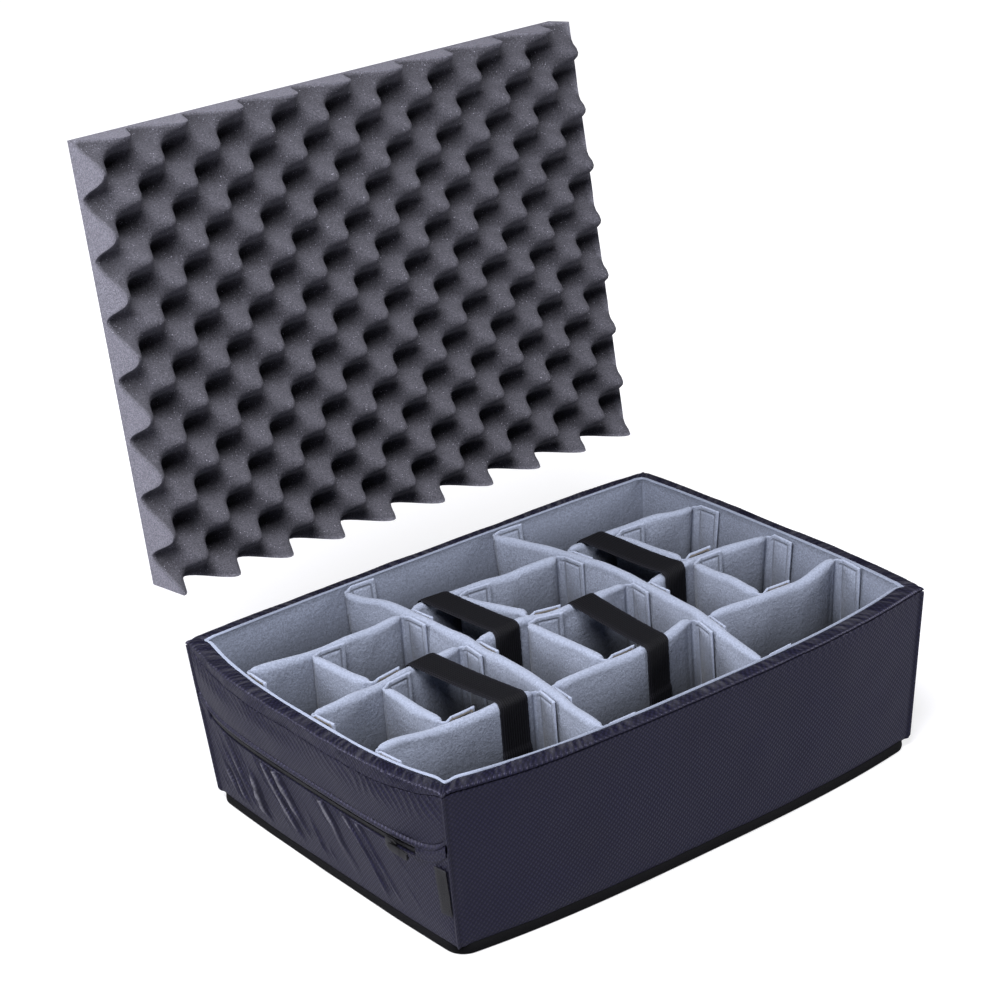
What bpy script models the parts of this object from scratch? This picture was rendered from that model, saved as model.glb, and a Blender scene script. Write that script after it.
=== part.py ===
"""Padded camera bag insert: a soft-walled box, its stick-in dividers and straps, and a lid foam.

Metres, +Z up. The origin is under the middle of the base. +X runs along the long sides, away from
the zipped end, and +Y runs to the back, where the lid foam stands.
"""

from math import cos, pi, radians, sin, tan

import bmesh
import bpy
import numpy as np
from mathutils import Matrix, Vector

mm = 0.001

# Box
BOX_LENGTH = 457 * mm
BOX_WIDTH = 331 * mm
BOX_HEIGHT = 141 * mm
BASE_HEIGHT = 8 * mm
WALL_TAPER = 8.8 * mm
WAIST_HEIGHT = 90 * mm
FRONT_BOW = 13 * mm
BACK_BOW = 11 * mm
RIGHT_BOW = 11 * mm
LEFT_BOW = 12 * mm
FRONT_FOOT_BOW = 13 * mm
BACK_FOOT_BOW = 7 * mm
RIGHT_FOOT_BOW = 5 * mm
LEFT_FOOT_BOW = 3 * mm
RIM_DROP = 4 * mm
BOW_POWER = 3
BOW_KNOT_SHARES = (0, 0.25, 0.45, 0.6, 0.75, 0.88, 1)
SIDE_KNOT_SHARES = (-0.8, -0.5, 0, 0.5, 0.8)

# Layers of a wall, from the outside in, and of the floor, from the ground up
COVER_THICKNESS = 1.0 * mm
FOAM_THICKNESS = 10 * mm
LINING_THICKNESS = 1.2 * mm
BASE_CLOTH_THICKNESS = 1.2 * mm
BASE_BOARD_THICKNESS = 12 * mm
GAP = 0.3 * mm
MITRE_TRIM = 0.2 * mm
RIM_RADIUS = 4 * mm
RIM_ARC_STEPS = 3

# Base cloth
BASE_STEP = 1.0 * mm
BASE_CORNER_RADIUS = 14 * mm
BASE_EDGE_RADIUS = 2.5 * mm
CORNER_STEPS = 5

# Zip across the left end, its slider and pull, and the sewn label
ZIP_HEIGHT = 77 * mm
ZIP_OPENING = 6 * mm
ZIP_END_RISE = 17 * mm
ZIP_RISE_POWER = 12
ZIP_RECESS = 1.8 * mm
CHAIN_THICKNESS = 0.9 * mm
GROOVE_DEPTH = 1.8 * mm
SLIDER_FROM_CORNER = 60.5 * mm
SLIDER_LENGTH = 13 * mm
SLIDER_HEIGHT = 10 * mm
SLIDER_THICKNESS = 2.6 * mm
SLIDER_WAIST = 7 * mm
PULL_LENGTH = 24 * mm
PULL_HEIGHT = 7 * mm
PULL_THICKNESS = 1.6 * mm
SLIDER_STATION_SHARES = (-0.5, -0.2, 0.5)
PULL_OUTLINE_SHARES = ((-1, 0.6), (-0.9, 1), (-0.25, 1), (-0.08, 0.7), (0.025, 0.7))
LABEL_FROM_CORNER = 10.5 * mm
LABEL_WIDTH = 18 * mm
LABEL_LENGTH = 44 * mm
LABEL_FOOT_HEIGHT = 32 * mm
LABEL_THICKNESS = 0.8 * mm

# Dividers
LONG_DIVIDER_TOP = 136 * mm
CROSS_DIVIDER_TOP = 134 * mm
DIVIDER_THICKNESS = 8 * mm
DIVIDER_CLOTH = 1.0 * mm
TAB_WIDTH = 25 * mm
TAB_THICKNESS = 2 * mm
SEAT_GAP = 0.8 * mm
CAVITY_SLOPE = 2 * mm

# Straps
STRAP_WIDTH = 25.4 * mm
STRAP_THICKNESS = 1.6 * mm
STRAP_HANG = 46 * mm
STRAP_ANCHOR_HANG = 42 * mm
STRAP_ARC_STEPS = 4
STRAP_SPLIT = 1 * mm
STRAP_GAP = 0.5 * mm

# Lid foam
PAD_PITCH_LONG = 49.2 * mm
PAD_PITCH_SHORT = 46.8 * mm
PAD_LONG_PITCHES = 9.25
PAD_SHORT_PITCHES = 7.5
PAD_THICKNESS = 48 * mm
PAD_VALLEY = 7 * mm
PAD_STEPS = 4
PAD_LEAN = radians(7.3)
PAD_FROM_CORNER = 5.3 * mm
PAD_FOOT_BEHIND = 52.9 * mm
PAD_FOOT_ABOVE = 26.5 * mm

# Layer boundaries, worked out from the sizes above
FOAM_OUTER = COVER_THICKNESS + GAP
FOAM_INNER = FOAM_OUTER + FOAM_THICKNESS
LINING_OUTER = FOAM_INNER + GAP
LINING_INNER = LINING_OUTER + LINING_THICKNESS
BOARD_FOOT = BASE_CLOTH_THICKNESS + GAP
BOARD_TOP = BOARD_FOOT + BASE_BOARD_THICKNESS
LINING_FOOT = BOARD_TOP + GAP
FLOOR_TOP = LINING_FOOT + LINING_THICKNESS
HALF_DIVIDER = DIVIDER_THICKNESS / 2
PAD_LENGTH = PAD_PITCH_LONG * PAD_LONG_PITCHES
PAD_LEFT = PAD_FROM_CORNER - BOX_LENGTH / 2
SLIDER_REST = SLIDER_FROM_CORNER - BOX_WIDTH / 2
LABEL_CENTRE = LABEL_FROM_CORNER - BOX_WIDTH / 2
PAD_WIDTH = PAD_PITCH_SHORT * PAD_SHORT_PITCHES

# Each wall: the way along it, the way out, half its run, and half the box across it
WALLS = {
    "front": (Vector((1, 0)), Vector((0, -1)), BOX_LENGTH / 2, BOX_WIDTH / 2),
    "right": (Vector((0, 1)), Vector((1, 0)), BOX_WIDTH / 2, BOX_LENGTH / 2),
    "back": (Vector((-1, 0)), Vector((0, 1)), BOX_LENGTH / 2, BOX_WIDTH / 2),
    "left": (Vector((0, -1)), Vector((-1, 0)), BOX_WIDTH / 2, BOX_LENGTH / 2),
}

# How far each wall bows out in its middle, at its foot and at its rim
BOWS = {
    "front": (FRONT_FOOT_BOW, FRONT_BOW),
    "right": (RIGHT_FOOT_BOW, RIGHT_BOW),
    "back": (BACK_FOOT_BOW, BACK_BOW),
    "left": (LEFT_FOOT_BOW, LEFT_BOW),
}

# Places of the dividers, as shares of half the box's length (x) and half its width (y)
LONG_DIVIDER_SHARES = {
    "left": ((-0.38, 1), (-0.318, 0.63), (-0.302, 0.145), (-0.315, -0.37), (-0.372, -1)),
    "right": ((0.272, 1), (0.358, 0.63), (0.4, 0.145), (0.376, -0.37), (0.293, -1)),
}
CROSS_DIVIDER_SHARES = {
    "left_back": ("wall", "left", ((-1, 0.545), (0, 0.555))),
    "left_middle": ("wall", "left", ((-1, 0), (-0.555, 0.09), (0, 0.115))),
    "left_front": ("wall", "left", ((-1, -0.475), (0, -0.48))),
    "middle_back": ("left", "right", ((-1, 0.6), (1, 0.565))),
    "middle_middle": ("left", "right", ((-1, 0.105), (-0.085, 0.126), (0.09, 0.065), (1, 0.086))),
    "middle_front": ("left", "right", ((-1, -0.49), (0.067, -0.506), (1, -0.455))),
    "right_back": ("right", "wall", ((0, 0.575), (0.57, 0.6), (0.735, 0.59), (1, 0.55))),
    "right_middle": ("right", "wall", ((0, 0.034), (0.6, 0.069), (0.79, 0.062), (1, 0.018))),
    "right_front": ("right", "wall", ((0, -0.44), (0.8, -0.505), (1, -0.475))),
}
SHORT_DIVIDER_SHARES = {
    "left_back": ("left_back", "left_middle", -0.735, -0.7),
    "left_front": ("left_middle", "left_front", -0.704, -0.697),
    "middle_back": ("middle_back", "middle_middle", -0.102, -0.044),
    "middle_front": ("middle_middle", "middle_front", -0.061, -0.061),
    "right_back": ("right_back", "right_middle", 0.6, 0.632),
    "right_front": ("right_middle", "right_front", 0.637, 0.63),
}
STRAP_SHARES = {
    "left": ("left_middle", "left_front", -0.499, -0.455),
    "middle_back": ("middle_back", "middle_middle", -0.186, -0.157),
    "middle_front": ("middle_middle", "middle_front", 0.16, 0.1256),
    "right": ("right_back", "right_middle", 0.51, 0.538),
}

FINISHES = {
    "nylon": ((0.022, 0.022, 0.036), 0.62, 0),
    "base_cloth": ((0.006, 0.006, 0.007), 0.85, 0),
    "wall_foam": ((0.12, 0.12, 0.13), 0.95, 0),
    "lining": ((0.25, 0.27, 0.34), 0.95, 0),
    "divider_cloth": ((0.30, 0.32, 0.40), 0.95, 0),
    "divider_core": ((0.08, 0.08, 0.09), 0.9, 0),
    "webbing": ((0.015, 0.014, 0.015), 0.8, 0),
    "pad_foam": ((0.055, 0.055, 0.062), 0.98, 0),
    "zip_chain": ((0.008, 0.008, 0.009), 0.6, 0),
    "zip_metal": ((0.02, 0.02, 0.022), 0.4, 0.8),
    "label": ((0.01, 0.01, 0.011), 0.7, 0),
}


def clear_scene():
    for item in list(bpy.data.objects):
        bpy.data.objects.remove(item, do_unlink=True)


def make_material(name, finish):
    colour, roughness, metallic = FINISHES[finish]
    material = bpy.data.materials.new(name)
    material.use_nodes = True
    shader = material.node_tree.nodes["Principled BSDF"]
    shader.inputs["Base Color"].default_value = (*colour, 1)
    shader.inputs["Roughness"].default_value = roughness
    shader.inputs["Metallic"].default_value = metallic
    return material


def twist(a, b):
    """Tells the two diagonals of a twisted face apart, so that all layers split it one way."""
    return a.co.xy.cross(b.co.xy) * (b.co.z - a.co.z)


def loft(name, rings, finish, origin=(0, 0, 0), parent=None):
    """A closed solid through rings of points, capped at the first and last ring."""
    body = bmesh.new()
    origin = Vector(origin)
    rows = [[body.verts.new(Vector(point) - origin) for point in ring] for ring in rings]
    count = len(rows[0])
    for low, high in zip(rows, rows[1:]):
        for i in range(count):
            j = (i + 1) % count
            if twist(low[i], high[j]) > twist(low[j], high[i]):
                body.faces.new((low[i], low[j], high[j]))
                body.faces.new((low[i], high[j], high[i]))
            else:
                body.faces.new((low[i], low[j], high[i]))
                body.faces.new((low[j], high[j], high[i]))
    body.faces.new(rows[0])
    body.faces.new(rows[-1])
    return finish_object(name, body, finish, origin, parent)


def finish_object(name, body, finish, origin=(0, 0, 0), parent=None):
    bmesh.ops.recalc_face_normals(body, faces=body.faces)
    mesh = bpy.data.meshes.new(name)
    body.to_mesh(mesh)
    body.free()
    mesh.materials.append(make_material(name, finish))
    item = bpy.data.objects.new(name, mesh)
    bpy.context.scene.collection.objects.link(item)
    item.location = origin
    if parent:
        bpy.context.view_layer.update()
        item.parent = parent
        item.matrix_parent_inverse = parent.matrix_world.inverted()
    return item


def pivot(name, place, parent=None):
    """An empty on a joint, which carries the pieces that move with it."""
    item = bpy.data.objects.new(name, None)
    bpy.context.scene.collection.objects.link(item)
    item.location = place
    item.empty_display_size = BASE_HEIGHT
    bpy.context.view_layer.update()
    if parent:
        item.parent = parent
        item.matrix_parent_inverse = parent.matrix_world.inverted()
        bpy.context.view_layer.update()
    return item


def climb_share(z):
    """How far up the wall a height is, from the foot of the cover to the rim."""
    return min(max((z - BASE_HEIGHT) / (BOX_HEIGHT - BASE_HEIGHT), 0), 1)


def bow_share(u):
    """How much of its bow a wall has at a share of its half run."""
    curve = [1 - knot ** BOW_POWER for knot in BOW_KNOT_SHARES]
    return float(np.interp(abs(u), BOW_KNOT_SHARES, curve))


def wall_place(wall, run, u, inset, z):
    along, out, _, half_depth = WALLS[wall]
    narrow = inset + WALL_TAPER * (1 - climb_share(z))
    foot_bow, rim_bow = BOWS[wall]
    bow = foot_bow + (rim_bow - foot_bow) * climb_share(z)
    return along * run + out * (half_depth - narrow + bow * bow_share(u))


def wall_point(wall, u, inset, z, trim=0):
    """A point of a wall at a share of its run, an inset from its outer face, and a height."""
    half_run = WALLS[wall][2] - inset - WALL_TAPER * (1 - climb_share(z)) - trim
    plan = wall_place(wall, half_run * u, u, inset, z)
    drop = RIM_DROP * max(z - WAIST_HEIGHT, 0) / (BOX_HEIGHT - WAIST_HEIGHT)
    return Vector((plan.x, plan.y, z - drop * bow_share(u)))


def wall_stations():
    shares = [-knot for knot in reversed(BOW_KNOT_SHARES)]
    return shares + list(BOW_KNOT_SHARES[1:])


def wall_sweep(name, wall, profile, finish):
    """A solid along one wall, from a profile of insets and heights at each station."""
    rings = []
    for u in wall_stations():
        rings.append([wall_point(wall, u, inset, z, MITRE_TRIM) for inset, z in profile(u)])
    return loft(name, rings, finish)


def rim_arc(inset):
    """The rounded outer edge under the rim for a layer that starts at an inset."""
    radius = RIM_RADIUS - inset
    points = []
    for step in range(RIM_ARC_STEPS + 1):
        turn = pi / 2 * step / RIM_ARC_STEPS
        rise = BOX_HEIGHT - RIM_RADIUS + radius * sin(turn)
        points.append((RIM_RADIUS - radius * cos(turn), rise))
    return points


def cover_profile(foot):
    """The outer cloth from a foot height up, over the rim and in to the lining."""
    skin = [(0, foot), (0, max(foot, WAIST_HEIGHT) + GAP)] + rim_arc(0)
    skin.append((FOAM_INNER, BOX_HEIGHT))
    under = [(FOAM_INNER, BOX_HEIGHT - COVER_THICKNESS)]
    under += list(reversed(rim_arc(COVER_THICKNESS)))
    under += [(COVER_THICKNESS, max(foot, WAIST_HEIGHT) + GAP), (COVER_THICKNESS, foot)]
    return skin + under


def zip_line(u):
    return ZIP_HEIGHT + ZIP_END_RISE * abs(u) ** ZIP_RISE_POWER


def make_covers():
    foot = BASE_HEIGHT + GAP
    for wall in ("front", "back", "right"):
        wall_sweep(f"cover_{wall}", wall, lambda u: cover_profile(foot), "nylon")
    half_zip = ZIP_OPENING / 2
    wall_sweep(
        "cover_left_upper", "left", lambda u: cover_profile(zip_line(u) + half_zip), "nylon"
    )
    wall_sweep(
        "cover_left_lower",
        "left",
        lambda u: [
            (0, foot),
            (0, zip_line(u) - half_zip),
            (COVER_THICKNESS, zip_line(u) - half_zip),
            (COVER_THICKNESS, foot),
        ],
        "nylon",
    )


def foam_profile(wall, u):
    """The wall foam stands on the base board; the left one is grooved behind the zip."""
    outer = [(FOAM_OUTER, LINING_FOOT)]
    if wall == "left":
        low = zip_line(u) - ZIP_OPENING / 2
        high = zip_line(u) + ZIP_OPENING / 2
        deep = FOAM_OUTER + GROOVE_DEPTH
        outer += [(FOAM_OUTER, low), (deep, low), (deep, high), (FOAM_OUTER, high)]
    else:
        outer.append((FOAM_OUTER, WAIST_HEIGHT))
    outer += rim_arc(FOAM_OUTER)
    outer += [(FOAM_INNER, BOX_HEIGHT - FOAM_OUTER)]
    return outer + [(FOAM_INNER, WAIST_HEIGHT), (FOAM_INNER, LINING_FOOT)]


def make_wall_foams():
    for wall in WALLS:
        wall_sweep(
            f"foam_board_{wall}", wall, lambda u, wall=wall: foam_profile(wall, u), "wall_foam"
        )


def round_rectangle(inset, radius, z):
    """A loop round the box's foot at an inset from the cover's foot, bowed as its walls are."""
    half_x = BOX_LENGTH / 2 - WALL_TAPER - inset - radius
    half_y = BOX_WIDTH / 2 - WALL_TAPER - inset - radius
    points = []
    for quarter, (sx, sy) in enumerate(((1, 1), (-1, 1), (-1, -1), (1, -1))):
        for step in range(CORNER_STEPS + 1):
            turn = pi / 2 * (quarter + step / CORNER_STEPS)
            points.append(Vector((sx * half_x + radius * cos(turn), sy * half_y + radius * sin(turn))))
        points += side_points(points[-1], quarter)
    return [foot_bowed(point).to_3d() + Vector((0, 0, z)) for point in points]


def side_points(start, quarter):
    """Points along one straight side, from its start to the point across the box from it."""
    across = Vector((-1, 1)) if quarter % 2 == 0 else Vector((1, -1))
    stop = start * across
    return [start.lerp(stop, (knot + 1) / 2) for knot in SIDE_KNOT_SHARES]


def foot_bowed(point):
    """Moves a point of the foot's outline out by the bow of the walls beside it."""
    moved = point.copy()
    for wall, (along, out, half_run, _) in WALLS.items():
        if point.dot(out) > 0:
            moved += out * BOWS[wall][0] * bow_share(point.dot(along) / (half_run - WALL_TAPER))
    return moved


def make_base_cloth():
    """A shallow tray of black cloth that wraps the foot of the box."""
    outer = BASE_STEP
    inner = BASE_STEP + BASE_CLOTH_THICKNESS
    radius = BASE_CORNER_RADIUS
    soft = BASE_EDGE_RADIUS
    rings = []
    for step in range(RIM_ARC_STEPS + 1):
        turn = pi / 2 * step / RIM_ARC_STEPS
        draw = soft * (1 - sin(turn))
        rings.append(round_rectangle(outer + draw, radius - draw, soft * (1 - cos(turn))))
    rings.append(round_rectangle(outer, radius, BASE_HEIGHT))
    rings.append(round_rectangle(inner, radius - BASE_CLOTH_THICKNESS, BASE_HEIGHT))
    draw = soft - BASE_CLOTH_THICKNESS
    rings.append(round_rectangle(inner, radius - BASE_CLOTH_THICKNESS, soft))
    rings.append(
        round_rectangle(inner + draw, radius - BASE_CLOTH_THICKNESS - draw, BASE_CLOTH_THICKNESS)
    )
    loft("base_cloth", rings, "base_cloth")


def make_base_board():
    inset = BASE_STEP + BASE_CLOTH_THICKNESS + GAP
    radius = BASE_CORNER_RADIUS - BASE_CLOTH_THICKNESS - GAP
    soft = BASE_EDGE_RADIUS - BASE_CLOTH_THICKNESS
    rings = [
        round_rectangle(inset + soft, radius - soft, BOARD_FOOT),
        round_rectangle(inset, radius, BOARD_FOOT + soft),
        round_rectangle(inset, radius, BOARD_TOP),
    ]
    loft("base_board", rings, "wall_foam")


def lining_loop(inset, z):
    points = []
    for wall in WALLS:
        for u in wall_stations()[:-1]:
            points.append(wall_point(wall, u, inset, z))
    return points


def make_lining():
    """One sewn tub of loop cloth, whose top edge shows as a light line inside the rim."""
    rings = [
        lining_loop(LINING_OUTER, LINING_FOOT),
        lining_loop(LINING_OUTER, WAIST_HEIGHT),
        lining_loop(LINING_OUTER, BOX_HEIGHT),
        lining_loop(LINING_INNER, BOX_HEIGHT),
        lining_loop(LINING_INNER, WAIST_HEIGHT),
        lining_loop(LINING_INNER, FLOOR_TOP),
    ]
    loft("lining_tub", rings, "lining")


def make_zip():
    half = ZIP_OPENING / 2 - GAP
    deep = ZIP_RECESS + CHAIN_THICKNESS
    wall_sweep(
        "zip_chain",
        "left",
        lambda u: [
            (ZIP_RECESS, zip_line(u) - half),
            (ZIP_RECESS, zip_line(u) + half),
            (deep, zip_line(u) + half),
            (deep, zip_line(u) - half),
        ],
        "zip_chain",
    )
    crest = wall_place("left", 0, 0, 0, ZIP_HEIGHT + SLIDER_HEIGHT / 2).x
    face = crest - GAP
    tip = crest + ZIP_RECESS - GAP
    back = face - SLIDER_THICKNESS
    carrier = pivot("zip_slide", (face, SLIDER_REST, ZIP_HEIGHT))
    make_slider(carrier, face, tip, back)
    make_pull(carrier, back)


def make_slider(carrier, face, tip, back):
    """A waisted body outside the cloth, and a foot in the gap above the chain."""
    ends = zip(SLIDER_STATION_SHARES, (SLIDER_WAIST, SLIDER_HEIGHT, SLIDER_HEIGHT))
    foot = ZIP_OPENING / 2 - GAP
    rings = []
    for share, height in ends:
        y = SLIDER_REST + SLIDER_LENGTH * share
        half = height / 2
        rings.append(
            [
                (face, y, ZIP_HEIGHT - half),
                (back, y, ZIP_HEIGHT - half),
                (back, y, ZIP_HEIGHT + half),
                (face, y, ZIP_HEIGHT + half),
                (face, y, ZIP_HEIGHT + foot),
                (tip, y, ZIP_HEIGHT + foot),
                (tip, y, ZIP_HEIGHT - foot),
                (face, y, ZIP_HEIGHT - foot),
            ]
        )
    loft("zip_slider", rings, "zip_metal", (face, SLIDER_REST, ZIP_HEIGHT), carrier)


def make_pull(carrier, back):
    """A flat tab that lies back along the wall, hinged at the slider's middle."""
    place = (back - GAP - PULL_THICKNESS / 2, SLIDER_REST, ZIP_HEIGHT)
    near = back - GAP
    far = near - PULL_THICKNESS
    half = PULL_HEIGHT / 2
    rings = []
    for share, narrow in PULL_OUTLINE_SHARES:
        y = SLIDER_REST + PULL_LENGTH * share
        z = half * narrow
        rings.append(
            [
                (near, y, ZIP_HEIGHT - z),
                (far, y, ZIP_HEIGHT - z),
                (far, y, ZIP_HEIGHT + z),
                (near, y, ZIP_HEIGHT + z),
            ]
        )
    hinge = pivot("pull_hinge", place, carrier)
    loft("zip_pull", rings, "zip_metal", place, hinge)


def make_label():
    """A blank cloth label sewn flat to the front end of the zipped wall."""
    inner = -GAP
    outer = inner - LABEL_THICKNESS
    rings = []
    for edge in (-0.5, 0.5):
        run = -(LABEL_CENTRE + LABEL_WIDTH * edge)
        u = run / WALLS["left"][2]
        ring = []
        for inset, z in (
            (inner, LABEL_FOOT_HEIGHT),
            (outer, LABEL_FOOT_HEIGHT),
            (outer, LABEL_FOOT_HEIGHT + LABEL_LENGTH),
            (inner, LABEL_FOOT_HEIGHT + LABEL_LENGTH),
        ):
            plan = wall_place("left", run, u, inset, z)
            ring.append((plan.x, plan.y, z))
        rings.append(ring)
    loft("side_label", rings, "label")


def facing(way, towards):
    """The direction square to a way in plan that faces another direction."""
    side = Vector((-way.y, way.x))
    return side if side.dot(towards) > 0 else -side


def wall_end(wall, place, lead, fold, top):
    """Where a divider meets the lining, low and high: a point, the tab's way and the way in.

    The low end keeps to the upright plane through the high end and the divider's next bend.
    """
    along, out, half_run, _ = WALLS[wall]

    def seat(spot, z):
        run = spot * (along.x + along.y)
        narrow = LINING_INNER + WALL_TAPER * (1 - climb_share(z))
        return wall_place(wall, run, run / (half_run - narrow), LINING_INNER, z)

    step = fold.x + fold.y
    foot = FLOOR_TOP + GAP
    spine = seat(place, top) - lead
    drawn = (seat(place, foot) - lead).dot(out) / spine.dot(out)
    low_place = (lead + spine * drawn).dot(along) * (along.x + along.y)
    levels = []
    for spot, z in ((low_place, foot), (place, top)):
        start = seat(spot - HALF_DIVIDER * step, z)
        stop = seat(spot + (HALF_DIVIDER + TAB_WIDTH) * step, z)
        way = (stop - start).normalized()
        levels.append((start + way * HALF_DIVIDER, way, facing(way, -out)))
    return levels


def divider_end(paths, axis, place, towards, fold):
    """Where a divider meets the side of another one, low and high, as wall_end gives it."""
    levels = []
    for path in paths:
        for start, stop in zip(path, path[1:]):
            share = (place - start[axis]) / (stop[axis] - start[axis])
            if 0 <= share <= 1:
                break
        way = (stop - start).normalized()
        way = way if way.dot(fold) > 0 else -way
        inward = facing(way, towards)
        levels.append((start.lerp(stop, share) + inward * HALF_DIVIDER, way, inward))
    return levels


def end_stations(end):
    """Plan points, outer and inner, low and high, from a tab's edge round its fold to the body."""
    half = HALF_DIVIDER
    cloth = TAB_THICKNESS
    neck = SEAT_GAP + cloth * 4
    marks = (
        ((half + TAB_WIDTH, SEAT_GAP), (half + TAB_WIDTH, SEAT_GAP + cloth), 0),
        ((half + cloth, SEAT_GAP), (half + cloth / 2, SEAT_GAP + cloth), 0),
        ((-half / 4, SEAT_GAP), (half, SEAT_GAP + cloth * 5 / 4), 0),
        ((-half, SEAT_GAP + cloth), (half, SEAT_GAP + cloth * 2), 0),
        ((-half, neck), (half, neck), 0),
        ((-half, neck + CAVITY_SLOPE), (half, neck + CAVITY_SLOPE), 1),
    )
    stations = []
    for outer, inner, hollow in marks:
        pairs = []
        for point, way, inward in end:
            pairs.append(point + way * outer[0] + inward * outer[1])
            pairs.append(point + way * inner[0] + inward * inner[1])
        stations.append((*pairs, hollow))
    return stations


def body_station(paths, index, fold):
    """Plan points of the padded body where its line bends."""
    pairs = []
    for path in paths:
        side = facing((path[index + 1] - path[index - 1]).normalized(), fold)
        pairs.append(path[index] - side * HALF_DIVIDER)
        pairs.append(path[index] + side * HALF_DIVIDER)
    return (*pairs, 1)


def station_point(station, across, z, top):
    """A point of a station: across runs from -1, outside the fold, to 1, inside it."""
    foot = FLOOR_TOP + GAP
    outer_low, inner_low, outer_high, inner_high, _ = station
    climb = (z - foot) / (top - foot)
    outer = outer_low.lerp(outer_high, climb)
    inner = inner_low.lerp(inner_high, climb)
    plan = outer.lerp(inner, (across + 1) / 2)
    return Vector((plan.x, plan.y, z))


def sleeve_ring(station, top):
    """The sewn sleeve: a round top edge, and a hollow that is open at the foot."""
    foot = FLOOR_TOP + GAP
    crown = (station[1] - station[0]).length / 2
    shoulder = top - crown
    ring = [station_point(station, -1, foot, top)]
    for turn in (0, pi / 4, pi / 2, pi * 3 / 4, pi):
        ring.append(station_point(station, -cos(turn), shoulder + crown * sin(turn), top))
    ring.append(station_point(station, 1, foot, top))
    thin = 1 - DIVIDER_CLOTH / HALF_DIVIDER
    hollow = top - HALF_DIVIDER if station[4] else foot
    reach = thin if station[4] else thin / 2
    for across, z in ((thin, foot), (reach, hollow), (-reach, hollow), (-thin, foot)):
        ring.append(station_point(station, across, z, top))
    return ring


def core_ring(station, top):
    foot = FLOOR_TOP + GAP
    thin = 1 - (DIVIDER_CLOTH + GAP) / HALF_DIVIDER
    high = top - HALF_DIVIDER - GAP
    corners = ((thin, foot), (thin, high), (-thin, high), (-thin, foot))
    return [station_point(station, across, z, top) for across, z in corners]


def pulled_in(station, beside):
    """A station moved towards the next one, to keep the core clear of the sleeve's end."""
    moved = []
    for here, there in zip(station[:4], beside[:4]):
        moved.append(here + (there - here).normalized() * GAP)
    return (*moved, station[4])


def make_divider(name, first, middle, last, fold, top):
    """A divider: its sleeve with a folded tab at each end, and the core inside it."""
    depth = SEAT_GAP + TAB_THICKNESS * 4 + CAVITY_SLOPE
    paths = []
    for level in (0, 1):
        starts = first[level][0] + first[level][2] * depth
        stops = last[level][0] + last[level][2] * depth
        paths.append([starts, *middle, stops])
    stations = end_stations(first)
    for index in range(len(middle)):
        stations.append(body_station(paths, index + 1, fold))
    stations += reversed(end_stations(last))
    centre = (paths[0][0] + paths[0][-1]) / 2
    lift = pivot(f"{name}_lift", (centre.x, centre.y, FLOOR_TOP + GAP))
    sleeve = [sleeve_ring(station, top) for station in stations]
    loft(f"{name}_sleeve", sleeve, "divider_cloth", lift.location, lift)
    inside = [station for station in stations if station[4]]
    inside[0] = pulled_in(inside[0], inside[1])
    inside[-1] = pulled_in(inside[-1], inside[-2])
    core = [core_ring(station, top) for station in inside]
    loft(f"{name}_core", core, "divider_core", lift.location, lift)
    return paths, lift


def plan_point(shares):
    return Vector((shares[0] * BOX_LENGTH / 2, shares[1] * BOX_WIDTH / 2))


def make_long_dividers():
    """Two long bowed dividers from the back wall to the front wall."""
    fold = Vector((1, 0))
    paths = {}
    for side, shares in LONG_DIVIDER_SHARES.items():
        points = [plan_point(pair) for pair in shares]
        first = wall_end("back", points[0].x, points[1], fold, LONG_DIVIDER_TOP)
        last = wall_end("front", points[-1].x, points[-2], fold, LONG_DIVIDER_TOP)
        name = f"long_divider_{side}"
        paths[side], _ = make_divider(name, first, points[1:-1], last, fold, LONG_DIVIDER_TOP)
    return paths


def make_cross_dividers(long_paths):
    """Nine cross dividers, three in each column."""
    fold = Vector((0, -1))
    rightward = Vector((1, 0))
    made = {}
    for name, (near, far, shares) in CROSS_DIVIDER_SHARES.items():
        points = [plan_point(pair) for pair in shares]
        y_first = points[0].y
        y_last = points[-1].y
        if near != "wall":
            first = divider_end(long_paths[near], 1, y_first, rightward, fold)
        if far != "wall":
            last = divider_end(long_paths[far], 1, y_last, -rightward, fold)
        if near == "wall":
            lead = points[1] if points[1:-1] else last[1][0]
            first = wall_end("left", y_first, lead, fold, CROSS_DIVIDER_TOP)
        if far == "wall":
            lead = points[-2] if points[1:-1] else first[1][0]
            last = wall_end("right", y_last, lead, fold, CROSS_DIVIDER_TOP)
        title = f"cross_divider_{name}"
        made[name] = make_divider(title, first, points[1:-1], last, fold, CROSS_DIVIDER_TOP)
    return made


def make_short_dividers(cross):
    """Six short dividers, each between two cross dividers."""
    fold = Vector((1, 0))
    forward = Vector((0, -1))
    for name, (behind, ahead, x_behind, x_ahead) in SHORT_DIVIDER_SHARES.items():
        half = BOX_LENGTH / 2
        first = divider_end(cross[behind][0], 0, x_behind * half, forward, fold)
        last = divider_end(cross[ahead][0], 0, x_ahead * half, -forward, fold)
        make_divider(f"short_divider_{name}", first, [], last, fold, CROSS_DIVIDER_TOP)


def strap_seat(path, x):
    """Where a strap crosses a divider: the point, the divider's way and the way forward."""
    for start, stop in zip(path, path[1:]):
        share = (x - start.x) / (stop.x - start.x)
        if 0 <= share <= 1:
            break
    way = (stop - start).normalized()
    return start.lerp(stop, share), way, Vector((way.y, -way.x))


def crown_line(seat, start, stop):
    """A line over a divider's round top edge, for a strap that lies on it."""
    radius = HALF_DIVIDER + STRAP_GAP
    centre = CROSS_DIVIDER_TOP - HALF_DIVIDER
    line = []
    for step in range(STRAP_ARC_STEPS + 1):
        turn = start + (stop - start) * step / STRAP_ARC_STEPS
        line.append((seat, -radius * cos(turn), centre + radius * sin(turn)))
    return line


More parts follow.
